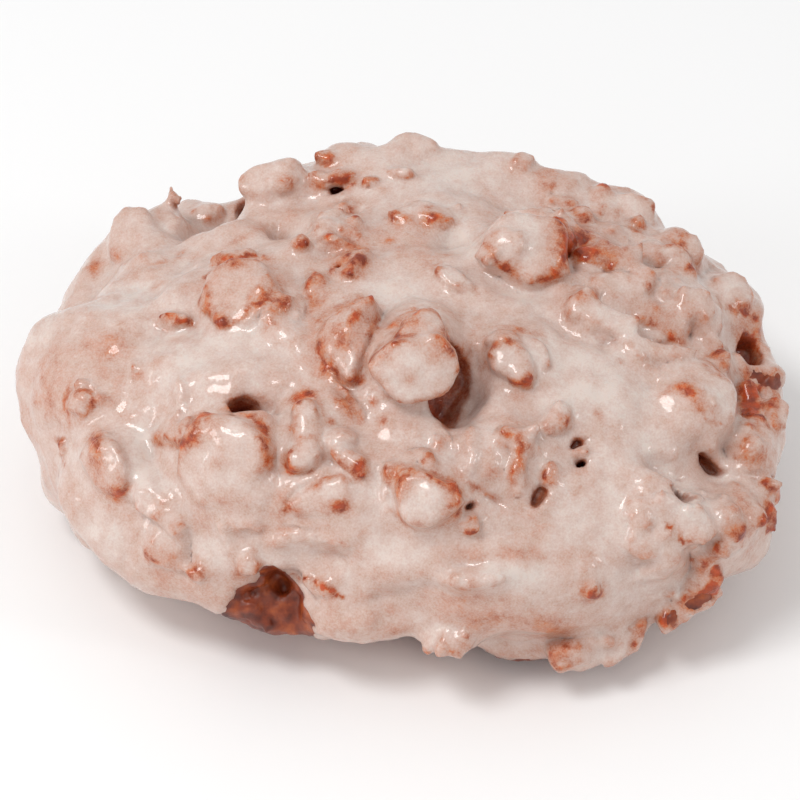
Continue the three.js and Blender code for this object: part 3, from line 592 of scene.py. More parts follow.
# ---- The crags ---------------------------------------------------------------------------------------------
# Small lumps and flakes of dough that fried hard and stand up through the glaze. Each is given by its place
# in the picture, its width, height and depth in millimetres, how far it stands out, its turn anticlockwise in
# degrees, and how bare of glaze it is, from 0 to 1. Its name seeds its shape.
CRAGS = {
    # the left end and the back left
    "low back bump": ((205, 217), (6.5, 3.5, 5), 1.2, 6, 0.35),
    "thin ledge": ((175, 322), (5.8, 1.6, 3), 1.5, -8, 0.9),
    "left fleck": ((137, 368), (2.2, 1.4, 2), 0.9, 30, 0.4),
    "dot by the dome": ((66, 445), (1.6, 3.0, 3), 1.1, 10, 0.7),
    "low ridge": ((158, 512), (7.0, 2.2, 4), 1.2, -24, 0.3),
    "low ridge's end": ((178, 526), (3.6, 2.2, 3), 1.3, -10, 0.2),
    "low left lump": ((165, 549), (6.5, 3.6, 4), 0.8, -6, 0.2),
    "dark nub": ((198, 571), (2.6, 2.0, 3), 1.2, 16, 1),
    "nub under the teeth": ((160, 436), (2.2, 1.5, 2), 1, 0, 0.6),
    # the crown
    "edge nub": ((327, 160), (3.6, 2.0, 4), 0.6, -12, 0.9),
    "cave's left nub": ((318, 184), (2.8, 2.6, 4), 1.4, -20, 0.5),
    "cave's roof": ((345, 178), (4.6, 1.8, 3), 1.4, 14, 0.8),
    "faint bump": ((287, 182), (3.4, 1.8, 3), 0.9, 10, 0.4),
    "crown nub": ((370, 184), (3.0, 1.5, 3), 1.2, -6, 0.7),
    "crown streak": ((402, 177), (4.6, 1.3, 3), 1.1, -4, 0.7),
    "crown crag": ((350, 210), (5.6, 2.2, 4), 1.5, 10, 0.9),
    "dark peak": ((322, 232), (2.4, 2.0, 3), 1.4, -30, 0.9),
    "orange bump": ((300, 247), (3.0, 2.0, 3), 1.2, 12, 0.7),
    "crag's roof": ((340, 248), (5.4, 2.0, 4), 1.6, -22, 0.8),
    "crag's side": ((355, 266), (1.8, 4.6, 4), 1.5, -30, 0.6),
    "crag's left": ((318, 292), (3.4, 6.0, 4), 1, 10, 0.5),
    "left rim": ((284, 305), (3.2, 2.0, 3), 1.4, 14, 0.8),
    "left rim's side": ((271, 322), (2.0, 4.0, 3), 1.3, -18, 0.5),
    "crown bump": ((400, 221), (4.4, 2.0, 3), 1, -10, 0.5),
    "crown dot": ((429, 211), (1.6, 1.2, 2), 1.1, 0, 0.9),
    "crown ridge": ((440, 222), (4.8, 1.8, 3), 1.4, -14, 0.9),
    "top bump": ((523, 162), (4.4, 3.0, 5), 0.4, -8, 0.2),
    "plate's corner": ((262, 292), (4.0, 4.6, 5), 1.4, 10, 0.4),
    "plate's top": ((240, 260), (7.6, 1.6, 3), 1.3, 4, 0.5),
    "plate's left edge": ((208, 300), (1.6, 6.6, 3), 1.2, -18, 0.3),
    "plate's foot": ((222, 322), (2.8, 2.2, 3), 1.4, -20, 0.6),
    "upper block's knee": ((506, 254), (5.0, 5.4, 5), 3.0, -20, 0.2),
    "upper block's cheek": ((552, 262), (4.0, 6.0, 5), 2.5, 14, 0.25),
    "upper block's top": ((528, 226), (8.0, 3.4, 5), 3.4, -6, 0.1),
    "upper block's shoulder": ((556, 236), (3.2, 4.4, 4), 3.0, 10, 0.25),
    "round block's bead": ((408, 480), (2.6, 2.4, 4), 2.6, 0, 0.5),
    "round block's corner": ((449, 496), (2.4, 3.6, 4), 2.4, 20, 0.5),
    # behind and right of the crown
    "ring nub": ((583, 219), (2.6, 3.4, 4), 1.5, 0, 0.6),
    "crevice lip": ((560, 205), (5.4, 2.0, 4), 1.4, -4, 0.7),
    "crevice floor": ((575, 240), (3.8, 2.2, 3), 0.2, 10, 0.8),
    "speckled band": ((590, 257), (6.4, 2.6, 3), 1, -12, 0.9),
    "pearl": ((628, 262), (4.0, 4.0, 5), 1.6, 0, 0.1),
    "second pearl": ((648, 256), (3.2, 3.4, 4), 1.4, 0, 0.2),
    "third pearl": ((640, 284), (3.6, 3.4, 4), 1.4, 0, 0.3),
    "small orange nub": ((636, 228), (2.2, 1.8, 3), 1.3, 0, 0.8),
    "white corner": ((606, 288), (5.4, 4.2, 4), 1.3, -30, 0),
    "orange crumb": ((585, 297), (3.6, 1.8, 3), 1.1, 8, 0.8),
    "first leaf": ((600, 318), (11.0, 3.8, 4), 0.7, -24, 0.12),
    "second leaf": ((660, 322), (8.5, 3.4, 4), 1.0, -34, 0.4),
    "third leaf": ((650, 350), (11.0, 2.6, 3), 0.6, -10, 0.1),
    "round lump": ((690, 303), (5.4, 5.4, 6), 1.5, 10, 0.2),
    "long lump": ((707, 328), (3.6, 6.4, 5), 1.4, -8, 0),
    "red nub": ((717, 364), (3.6, 3.8, 4), 1.6, 0, 0.9),
    "ring over the nub": ((715, 348), (2.6, 1.4, 3), 1.2, 0, 0.6),
    "white tip": ((735, 366), (2.0, 3.2, 3), 1.3, 30, 0.1),
    # the right end
    "crust shelf": ((758, 376), (7.0, 3.0, 5), 0.6, -28, 1),
    "crust shelf's end": ((770, 391), (3.4, 4.2, 5), 0.8, -10, 0.8),
    "right nub": ((773, 418), (3.0, 5.0, 5), 1.2, 6, 0.6),
    "orange fold": ((748, 404), (2.6, 5.8, 4), 1.3, 10, 1),
    "lower flap": ((766, 484), (3.2, 2.0, 3), 1.3, -30, 0.6),
    "right edge crust": ((777, 497), (2.6, 2.8, 4), 1.2, -20, 0.9),
    "zigzag": ((767, 517), (1.6, 4.4, 3), 1.2, 24, 0.8),
    "small orange dome": ((735, 533), (3.0, 2.6, 3), 1.3, 20, 0.9),
    "cream dome": ((725, 521), (4.6, 3.8, 4), 1.3, 0, 0),
    "second orange nub": ((720, 547), (2.6, 2.2, 3), 1.2, 0, 0.7),
    "lower ridge": ((680, 519), (11.5, 4.0, 5), 1.2, -30, 0),
    # the front
    "fold by the foot": ((350, 462), (5.6, 1.8, 3), 1.4, -22, 0.5),
    "fold's end": ((359, 470), (2.2, 2.2, 3), 1.5, 0, 0.8),
    "crinkle": ((340, 440), (5.4, 3.4, 3), 1, -20, 0),
    "small nub": ((392, 473), (2.4, 2.2, 3), 1.5, 0, 0.7),
    "ridge over the round block": ((418, 457), (3.4, 1.4, 3), 1.2, 30, 0.5),
    "second ridge": ((430, 466), (1.4, 3.6, 3), 1.2, 16, 0.7),
    "bubble": ((440, 447), (2.4, 2.4, 3), 1.3, 0, 0.3),
    "hook": ((508, 434), (3.4, 1.8, 3), 1.3, 10, 0.5),
    "hook's shank": ((521, 448), (1.8, 4.8, 3), 1.3, -12, 0.5),
    "hook's foot": ((513, 478), (2.4, 3.8, 3), 0.7, 0, 0.2),
    "white ridge": ((555, 420), (6.0, 2.0, 3), 1.3, 42, 0),
    "red speck": ((565, 422), (1.6, 2.0, 2), 1.2, -20, 0.8),
    "bridge between holes": ((578, 453), (3.0, 1.0, 2), 0.9, 14, 0.2),
    "brown top": ((549, 474), (2.4, 3.0, 3), 1, -30, 0.8),
    "crumb under the round block": ((468, 524), (3.0, 2.6, 3), 1.2, -40, 0.6),
    "slot's crest": ((320, 583), (6.6, 1.4, 3), 1.2, -30, 0.5),
    "gap's roof": ((268, 580), (3.6, 2.4, 3), 0.9, 0, 0),
    "gap's left lump": ((246, 604), (4.6, 3.2, 4), 1.0, 20, 0),
    "gap's middle lump": ((272, 606), (5.2, 3.6, 4), 1.2, -14, 0),
    "gap's right lump": ((294, 604), (3.4, 4.4, 4), 1.0, 10, 0),
    "gap's low crumb": ((264, 619), (3.2, 2.0, 3), 1.0, 0, 0),
    "front lip": ((474, 579), (7.0, 2.0, 3), 1.1, 6, 0),
    "rough lump": ((640, 508), (4.0, 2.6, 3), 1.3, -10, 0),
    "rough lump's foot": ((641, 522), (3.0, 2.8, 3), 1.2, 20, 0.2),
    "white lumps": ((644, 545), (4.0, 3.4, 4), 1.0, 20, 0),
    "lump with a light": ((652, 570), (4.6, 3.0, 4), 1.0, -14, 0),
    "far right crag": ((708, 572), (3.6, 4.4, 5), 1.2, 12, 1),
    "bright crag": ((696, 597), (5.4, 3.2, 5), 1.2, 18, 1),
    "crag's link": ((711, 585), (2.0, 3.4, 4), 1.0, 0, 0.9),
    "dark crag": ((673, 616), (4.6, 3.0, 4), 1.5, 30, 1),
    "edge crag": ((633, 634), (2.4, 4.4, 4), 1.2, -14, 0.5),
    "bottom bump": ((566, 652), (5.4, 3.4, 5), 1.3, 6, 0.15),
    "bottom bump's drop": ((563, 664), (2.2, 1.6, 3), 1.2, 0, 0.6),
    "second bottom bump": ((452, 641), (4.8, 3.2, 5), 1.2, -20, 0.2),
    "brown speck": ((593, 590), (2.6, 1.8, 3), 1, 10, 1),
}
# Larger lumps that make the outline, given as the blocks of fruit are.
LUMPS = {
    "left peak": (
        9, (141, 214, -0.7), (151, 206, -0.9), (164, 210, -0.9), (181, 216, -0.9), (172, 236, -0.5),
        (148, 238, -0.5), (159, 214, 0.3),
    ),
    "left shoulder": (
        9, (108, 252, -0.9), (111, 217, -0.8), (126, 204, -0.8), (145, 207, -0.6), (152, 246, -0.5),
        (128, 264, -0.7), (130, 237, 0.1),
    ),
    "back ledge": (
        8, (237, 188, -0.5), (238, 176, -0.6), (256, 165, -0.8), (292, 158, -0.8), (292, 182, -0.7),
        (254, 196, -0.6), (257, 182, -0.3),
    ),
    "top peak": (
        7, (382, 148, -0.9), (396, 132, -1.0), (412, 132, -1.0), (436, 141, -0.9), (441, 151, -0.9),
        (412, 158, -0.7), (410, 146, -0.5),
    ),
    "edge bump": (
        6, (541, 172, -0.9), (554, 168, -0.9), (576, 174, -0.9), (584, 186, -0.7), (566, 196, -0.6),
        (545, 190, -0.6), (560, 182, -0.2),
    ),
    "far right corner": (
        6, (752, 294, -0.5), (767, 306, -0.7), (760, 326, -0.7), (761, 343, -0.7), (744, 340, -0.5),
        (738, 312, -0.5), (752, 318, 0.1),
    ),
}
# Where the crust is rough with crumbs: the place in the picture, the width and height in millimetres, and
# how many there are. The name seeds their places and shapes.
ROUGH = {
    "left plate": ((240, 290), (11, 9), 12),
    "crown": ((345, 240), (10, 12), 18),
    "right of the crown": ((430, 215), (14, 5), 8),
    "upper block": ((530, 250), (12, 9), 22),
    "behind": ((590, 245), (16, 14), 34),
    "back right": ((680, 270), (14, 10), 14),
    "leaves": ((640, 325), (20, 6), 12),
    "teeth": ((190, 430), (9, 6), 10),
    "round block's top": ((425, 472), (10, 3), 6),
    "hook": ((515, 450), (6, 10), 7),
    "left dome and oblong": ((90, 430), (8, 14), 9),
    "low left": ((165, 550), (10, 5), 7),
    "beside the gap": ((320, 585), (8, 4), 6),
    "crack": ((685, 545), (8, 10), 14),
    "low right edge": ((690, 600), (12, 7), 14),
    "bottom": ((600, 645), (16, 5), 8),
    "bottom middle": ((450, 640), (10, 4), 5),
    "right end": ((760, 400), (6, 18), 14),
    "right lump": ((745, 520), (10, 12), 8),
}
SPLIT = 3  # lumps to a crag
GROWN = (0.4, 0.65)  # the size of the smaller ones, as a share of the first
ASKEW = 35  # degrees that they may be turned against it
UNEVEN = 0.2  # how far a corner may stray, as a share of the lump's side
CRAG_PROUD = 0.4  # millimetres that all the crags stand out beyond what is given
CRUMBS = (1.1, 2.4)  # millimetres wide
CRUMB_DEEP = 2.5  # millimetres
CUBE = [(x, y, z) for z in (-0.5, 0.5) for y in (-0.5, 0.5) for x in (-0.5, 0.5)]
CUBE_FACES = [(0, 2, 3, 1), (4, 5, 7, 6), (0, 1, 5, 4), (2, 6, 7, 3), (0, 4, 6, 2), (1, 3, 7, 5)]


def crag(name, place, normal, size, out, turn):
    """A lump that lies on the dough as the viewer sees it, with smaller ones grown on it, all uneven."""
    shake = random.Random(name)
    facing = facing_at(normal)
    across = (view_right - facing * view_right.dot(facing)).normalized()
    turned = Matrix.Rotation(math.radians(turn), 3, facing)
    along, beside = turned @ across, turned @ facing.cross(across)
    for part in range(SPLIT):
        share = shake.uniform(*GROWN) if part else 1
        astray = Matrix.Rotation(math.radians(shake.uniform(-ASKEW, ASKEW) if part else 0), 3, facing)
        sides = [astray @ along, astray @ beside, facing]
        wide = [0.85 * size[0] * share, size[1] * (0.5 + 0.5 * share), size[2]]
        middle = place + facing * ((out + CRAG_PROUD) * shake.uniform(0.75, 1.1) - size[2] / 2) * MM
        if part:
            middle += along * size[0] * shake.uniform(-0.42, 0.42) * MM
            middle += beside * size[1] * shake.uniform(-0.4, 0.4) * MM
        crag_faces.extend([tuple(len(crag_corners) + i for i in face) for face in CUBE_FACES])
        for corner in CUBE:
            shaken = [value + shake.uniform(-UNEVEN, UNEVEN) for value in corner]
            steps = (side * value * width * MM for side, value, width in zip(sides, shaken, wide))
            crag_corners.append(middle + sum(steps, Vector()))


crag_corners, crag_faces = [], []
for name, (pixel, size, count) in ROUGH.items():
    scatter = random.Random(name)
    for _ in range(count):
        far, turn = math.sqrt(scatter.random()) * PIXELS_PER_MM / 2, scatter.uniform(0, math.tau)
        spot = (pixel[0] + far * size[0] * math.cos(turn), pixel[1] + far * size[1] * math.sin(turn))
        wide = scatter.uniform(*CRUMBS)
        crumb = (wide, wide * scatter.uniform(0.6, 1), CRUMB_DEEP)
        crag(f"{name} {turn}", *seen_at(spot), crumb, scatter.uniform(0.5, 1.1), math.degrees(turn))
parts += [face_block(name, deep, corners) for name, (deep, *corners) in LUMPS.items()]
for name, (pixel, size, out, turn, _) in CRAGS.items():
    crag(name, *seen_at(pixel), size, out, turn)


# ---- The far sides -----------------------------------------------------------------------------------------
# The same fruit and crags go on round the sides that the picture doesn't show, at seeded places. One that
# would stand up over the outline that is seen keeps its place, and isn't made.
UNSEEN = 70  # places
FAR_MIDDLE = Vector((0, 0, 18 * MM))
FAR_WIDTHS = (2.8, 3.6, 4.6, 6.0, 8.0, 10.5)  # millimetres
FAR_APART = 6.5 * MM
FAR_BARE = (0.0, 0.1, 0.25, 0.5)
UNDERNEATH = -0.45  # skin that faces down as steeply as this stays plain
BEARINGS, RISES = (-25, 205), (-12, 62)  # degrees round from the right end, and up from level
# How far the skin has to be turned from the viewer, and how much more for each millimetre of a lump's width.
PLACED_BEYOND = (0.15, 0.035)
MADE_BEYOND = (0.3, 0.04)

random_side = random.Random(11)
placed = []
far_lumps = []
while len(placed) < UNSEEN:
    bearing = math.radians(random_side.uniform(*BEARINGS))
    rise = math.radians(random_side.uniform(*RISES))
    outward = Vector((math.cos(bearing) * math.cos(rise), math.sin(bearing) * math.cos(rise), math.sin(rise)))
    place, normal, _, _ = swell_surface.ray_cast(FAR_MIDDLE, outward)
    wide = random_side.choice(FAR_WIDTHS)
    towards = normal.dot(to_viewer)
    if towards > -PLACED_BEYOND[0] - PLACED_BEYOND[1] * wide or normal.z < UNDERNEATH:
        continue
    if any((place - other).length < FAR_APART for other in placed):
        continue
    placed.append(place)
    size = (wide, wide * random_side.uniform(0.55, 0.95), wide * 0.8 + 1.5)
    on_dough = dough_surface.find_nearest(place)[0]
    turn = random_side.uniform(-90, 90)
    out = 0.15 * wide * random_side.uniform(0.6, 1.2)
    bareness = random_side.choice(FAR_BARE)
    if towards < -MADE_BEYOND[0] - MADE_BEYOND[1] * wide:
        crag(f"far lump {len(placed)}", on_dough, normal, size, out, turn)
        far_lumps.append((on_dough, wide, bareness))


def grow(piece, name, kind, scale, strength, **settings):
    """Pushes a piece's skin out by a pattern of lumps of a size."""
    pattern = bpy.data.textures.new(name, kind)
    pattern.noise_scale = scale
    for key, value in settings.items():
        setattr(pattern, key, value)
    finish_with(piece, "DISPLACE", texture=pattern, strength=strength, mid_level=0.5, texture_coords="LOCAL")


mesh = bpy.data.meshes.new("crags")
mesh.from_pydata(crag_corners, [], crag_faces)
crags = bpy.data.objects.new("crags", mesh)
bpy.context.collection.objects.link(crags)
only(parts[0])
for part in parts:
    part.select_set(True)
bpy.ops.object.join()
fruit = bpy.context.object
even_skin(fruit, SKIN)
grow(fruit, "bruises", "CLOUDS", 3.4 * MM, 0.9 * MM, noise_depth=2)
even_skin(crags, SKIN)
smooth(crags, 3)
grow(crags, "crumples", "CLOUDS", 1.8 * MM, 0.9 * MM, noise_depth=1)
for piece in (fruit, crags, dough):
    piece.select_set(True)
bpy.context.view_layer.objects.active = dough
bpy.ops.object.join()
even_skin(dough, SKIN)
smooth(dough, 2)


# ---- The crust ---------------------------------------------------------------------------------------------
# Frying blisters the dough, so its skin is uneven all over, in lumps of a few millimetres and in fine grain.
grow(dough, "lumps", "CLOUDS", 5 * MM, 0.9 * MM, noise_depth=1)
grow(dough, "blisters", "CLOUDS", 1.5 * MM, 0.55 * MM, noise_depth=2)
MOST_FACES = 190000  # triangles, two to each face of the even skin
finish_with(dough, "DECIMATE", ratio=min(1, MOST_FACES / 2 / len(dough.data.polygons)))
skin = places(dough)
skin[:, 2] = np.clip(skin[:, 2], 0, None)
move_to(dough, skin)
uncut_surface, dough_surface = dough_surface, surface_of(dough)


def new_finish(name, **looks):
    """A new material with the looks of its shader: the material, its node tree and the shader."""
    material = bpy.data.materials.new(name)
    material.use_nodes = True
    tree = material.node_tree
    shader = tree.nodes["Principled BSDF"]
    for key, value in looks.items():
        shader.inputs[key].default_value = value
    return material, tree, shader


def feed(tree, socket, value):
    """Links another node's output to a socket, or sets the socket to a plain value."""
    if isinstance(value, bpy.types.NodeSocket):
        tree.links.new(value, socket)
    else:
        socket.default_value = value


def add_node(tree, kind, *fed, **settings):
    """A node with its settings. What is fed goes to its inputs in order, and the rest by name."""
    made = tree.nodes.new(kind)
    for key, value in settings.items():
        if key in made.inputs:
            feed(tree, made.inputs[key], value)
        else:
            setattr(made, key, value)
    for socket, value in zip(made.inputs, fed):
        feed(tree, socket, value)
    return made


def mottling(tree, size, detail):
    """A random pattern from 0 to 1, of a size in millimetres."""
    where = add_node(tree, "ShaderNodeTexCoord").outputs["Object"]
    made = add_node(tree, "ShaderNodeTexNoise", Vector=where, Scale=1 / (size * MM), Detail=detail)
    return made.outputs["Fac"]


def reckon(tree, operation, *values):
    return add_node(tree, "ShaderNodeMath", *values, operation=operation).outputs[0]


def seen_colour(hex_text):
    """A colour as the eye sees it, in the linear numbers that shaders take."""
    shares = [int(hex_text[i : i + 2], 16) / 255 for i in (0, 2, 4)]
    return tuple(p / 12.92 if p < 0.04045 else ((p + 0.055) / 1.055) ** 2.4 for p in shares) + (1,)


def coloured(tree, value, stops):
    """The colours of a run of stops, along a value."""
    made = add_node(tree, "ShaderNodeValToRGB", value)
    while len(made.color_ramp.elements) < len(stops):
        made.color_ramp.elements.new(0.5)
    for element, (place, text) in zip(made.color_ramp.elements, stops.items()):
        element.position = place
        element.color = seen_colour(text)
    return made.outputs["Color"]


def roughen(tree, shader, height, strength, distance):
    bump = add_node(tree, "ShaderNodeBump", Strength=strength, Distance=distance * MM, Height=height)
    feed(tree, shader.inputs["Normal"], bump.outputs["Normal"])


CRUST_COLOURS = {0.3: "4a1608", 0.5: "7e3213", 0.64: "9e4a1f", 0.8: "bc6630"}
crust, tree, shader = new_finish("fried crust", Roughness=0.4)
blotch = mottling(tree, 2.6, 5.0)
feed(tree, shader.inputs["Base Color"], coloured(tree, blotch, CRUST_COLOURS))
roughen(tree, shader, blotch, 0.9, 0.35)


# ---- The glaze ---------------------------------------------------------------------------------------------
# A thin sugar glaze that was poured over the warm fritter. It fills the valleys, thins out on every crest and
# stops short of the underside. It starts as the dough's own skin, and stands on it by its own thickness.
FILM = 0.34  # millimetres on an even stretch
LEAST, MOST = 0.12, 2.6  # millimetres
UNDER = 0.3  # millimetres that the dough's skin lies deeper where it is covered
CRESTS_OFF, VALLEYS_FULL, GRAIN_OFF = 7, 36, 2  # rounds of smoothing
STRAY = 0.7  # millimetres that the edges of what is drawn on it wander
RIM = 0.36  # less cover along the edges of the fruit
RIM_WIDTH = 0.6  # millimetres
EVEN = 0.71  # cover on an even stretch
SHARP = 0.05  # millimetres: a crest has to be this sharp to thin the glaze
SHARPEST = 0.12  # millimetres: and this sharp to count as a crest in full
RUN_OFF = 3.0  # how much sooner the glaze thins to nothing on sharp crests than the crests are high
POOLED = 0.26  # more cover where it pooled
DARK_POCKET = 0.55  # less cover inside a pocket
ENDS = (2.5, 7)  # millimetres above the table, between which it ends raggedly
# Where it is open: three places on the crust, given as the patches below are, and the front gap's outline.
BARE = {
    "crust shelf": ((768, 380), (6.0, 2.6), -24),
    "bright crag": ((700, 600), (5.0, 2.4), 24),
    "dark crag": ((672, 618), (2.6, 2.2), 30),
}
GAP = [
    (222, 616), (236, 598), (238, 588), (256, 582), (263, 567), (274, 564), (291, 577), (302, 590),
    (304, 606), (312, 621), (312, 660), (222, 660),
]
# Where it pooled, thick and creamy: the place in the picture, the width and height in millimetres, the turn.
POOLS = {
    "left pool": ((165, 362), (8, 9), 0),
    "shelf": ((240, 350), (13, 8), 0),
    "far left": ((40, 330), (8, 5), 40),
    "below the streaks": ((135, 300), (9, 4), 10),
    "crown's pool": ((372, 290), (14, 4), 0),
    "pool above the chip": ((462, 244), (10, 5), -20),
    "middle of the back": ((450, 180), (16, 4), 0),
    "below the upper block": ((515, 298), (10, 4), -6),
    "bulge at the right": ((600, 395), (14, 5), 10),
    "below the bulge": ((655, 450), (8, 5), -20),
    "bulge's edge": ((715, 420), (5, 9), 0),
    "brow below the leaves": ((575, 358), (14, 5), -8),
    "first leaf": ((615, 318), (9, 3), -24),
    "lens": ((155, 488), (8, 4), -20),
    "left valley": ((142, 458), (4, 9), 0),
    "lower ridge": ((690, 510), (10, 4), -28),
    "front middle": ((395, 550), (8, 5), 0),
    "front ridge": ((500, 575), (14, 3), 0),
    "low right": ((625, 580), (9, 5), 0),
    "right edge": ((668, 590), (6, 6), 40),
    "low left": ((110, 540), (10, 6), -30),
    "by the nub": ((215, 545), (5, 5), 0),
}
# Where it ran thin over the dough, so that the dough's brown comes through: the place in the picture, the
# width and height in millimetres, the turn, and how thin.
THIN = {
    "left lobe": ((78, 362), (15, 11), 10, 0.16),
    "left lobe's swirl": ((118, 345), (5, 3.5), 0, 0.2),
    "beside the dome": ((50, 385), (7, 9), 0, 0.12),
    "low left": ((160, 560), (6, 4), -5, 0.2),
    "left of the wedge": ((312, 300), (2.6, 9), 0, 0.32),
    "below the wedge": ((340, 395), (2.6, 10), 32, 0.3),
    "wedge": ((347, 330), (8, 12), -30, 0.34),
    "big block's right edge": ((444, 348), (3.2, 5.5), -30, 0.42),
    "big block's upper end": ((410, 322), (4.5, 3.4), 30, 0.42),
    "big block's speck": ((408, 381), (2.4, 1.8), 20, 0.3),
    "big block's left": ((386, 356), (5, 2.6), 34, 0.3),
    "left plate": ((240, 290), (12, 10), 0, 0.24),
    "crag by the crown": ((345, 258), (8, 10), 0, 0.3),
    "round block's right": ((453, 500), (2.2, 6), 0, 0.34),
    "round block's top": ((438, 480), (6, 1.6), -22, 0.34),
    "round block's top left": ((404, 486), (2.6, 4), 10, 0.34),
    "mound": ((222, 450), (13, 10), 0, 0.1),
    "mound's shoulder": ((196, 432), (7, 5), 20, 0.2),
    "front plate": ((318, 500), (10, 6), 10, 0.15),
    "shin": ((303, 410), (4, 6), 0, 0.12),
    "shin's top": ((304, 398), (5, 2), 8, 0.22),
    "foot's edge": ((302, 472), (7, 1.4), -6, 0.34),
    "left oblong": ((104, 465), (5, 8), 20, 0.14),
    "oblong's streak": ((97, 458), (2.6, 7), 12, 0.36),
    "oblong's foot": ((118, 490), (4, 2.2), 24, 0.45),
    "over the crown": ((405, 240), (10, 8), 0, 0.14),
    "behind the crown": ((585, 245), (12, 8), -12, 0.3),
    "upper block's foot": ((530, 272), (8, 3.6), -8, 0.22),
    "upper block's right": ((553, 240), (3.5, 7), 0, 0.14),
    "right of the leaves": ((640, 372), (5, 5), 0, 0.16),
    "below the right knob": ((522, 390), (5, 4), 0, 0.1),
    "right end": ((752, 330), (7, 6), 0, 0.4),
    "ring on the bulge": ((707, 410), (3.4, 5), 30, 0.35),
    "spots on the bulge": ((686, 389), (4, 2.4), 0, 0.35),
    "orange end": ((682, 256), (6, 5), -20, 0.22),
    "arch's left": ((576, 240), (5, 3), 0, 0.3),
    "edge at the back": ((548, 178), (5, 3), -40, 0.3),
    "streaks at the back": ((606, 190), (3, 3), -30, 0.3),
    "recess at the right": ((753, 450), (6, 6), 0, 0.22),
    "orange fold": ((748, 404), (4, 7), 10, 0.5),
    "front streak": ((520, 556), (20, 2.0), 0, 0.22),
    "low front": ((490, 612), (17, 5), -8, 0.2),
    "low front right": ((560, 640), (8, 5), 0, 0.28),
    "crease by the round block": ((482, 492), (7, 1.4), -32, 0.4),
    "right of the mound": ((262, 438), (2.2, 7), 14, 0.35),
    "under the front plate": ((300, 530), (12, 1.6), 0, 0.18),
    "low right": ((745, 510), (8, 6), 20, 0.18),
    "streak at the back": ((225, 247), (10, 0.8), 24, 0.2),
    "dash at the left": ((160, 264), (2.4, 0.7), 12, 0.5),
    "second dash": ((182, 256), (2.2, 0.7), 40, 0.4),
    "third dash": ((158, 288), (3.2, 0.8), 30, 0.4),
    "left edge spot": ((95, 268), (2, 3), 0, 0.5),
    "crown spot": ((390, 242), (1.4, 1.0), 0, 0.5),
    "right spot": ((620, 363), (1.2, 1.0), 0, 0.5),
    "middle right spot": ((597, 413), (1.2, 1.0), 0, 0.5),
    "spot by the shin": ((330, 424), (1.8, 1.4), -20, 0.6),
    "spot below the block": ((383, 421), (1.4, 1.2), 0, 0.5),
    "spot left of the block": ((362, 380), (1.4, 1.4), 0, 0.7),
    "spot at the cavity": ((374, 402), (1.3, 1.4), 0, 0.7),
    "plate's spots": ((340, 506), (2.2, 1.8), -20, 0.5),
    "low left spot": ((140, 378), (2.0, 1.0), 20, 0.3),
}
# Where it stands in a bead along the foot of a lump, and shines: lines as they are seen in the picture.
BEADS = {
    "under the foot": ((283, 512), (281, 503), (287, 492), (300, 483), (314, 478), (326, 472)),
    "left of the round block": ((390, 478), (386, 492), (387, 506), (392, 514)),
    "by the nub": ((222, 526), (226, 538), (232, 548), (239, 556)),
    "small arc": ((240, 526), (250, 522), (258, 527)),
    "band": ((282, 538), (300, 534), (320, 537), (336, 541)),
    "front plate's foot": ((288, 520), (302, 523), (316, 525)),
    "on the oblong": ((112, 446), (118, 456), (122, 470), (122, 482)),
    "beside the wedge": ((366, 330), (362, 345), (354, 362), (350, 376)),
    "channel": ((332, 378), (345, 395), (356, 408), (364, 416)),
    "plate's foot": ((246, 322), (256, 314), (266, 306)),
    "crown's gully": ((298, 298), (301, 308), (298, 318)),
    "swoosh": ((664, 296), (662, 284), (668, 272), (676, 264)),
    "under the recess": ((728, 468), (742, 470), (756, 466)),
    "over the lower ridge": ((686, 512), (693, 505), (702, 496)),
    "front ridge": ((456, 578), (470, 582), (486, 582), (500, 577)),
    "right of the bubble": ((470, 445), (474, 456), (470, 468)),
    "chip": ((438, 270), (448, 280), (458, 288)),
    "shelf's end": ((180, 382), (181, 394), (183, 408)),
    "pocket's edge": ((440, 432), (448, 441), (458, 446)),
    "brow": ((655, 372), (660, 380), (668, 368)),
    "right of the foot": ((330, 440), (342, 436), (352, 440)),
    "beside the cavity": ((366, 392), (374, 388), (382, 396)),
    "round the dome": ((70, 388), (82, 383), (94, 388), (100, 398)),
    "pool below the crown": ((488, 262), (492, 256), (498, 252)),
    "right knob's top": ((488, 342), (498, 338), (508, 340)),
}
BEAD, BEAD_WIDTH = 0.65, 0.6  # millimetres
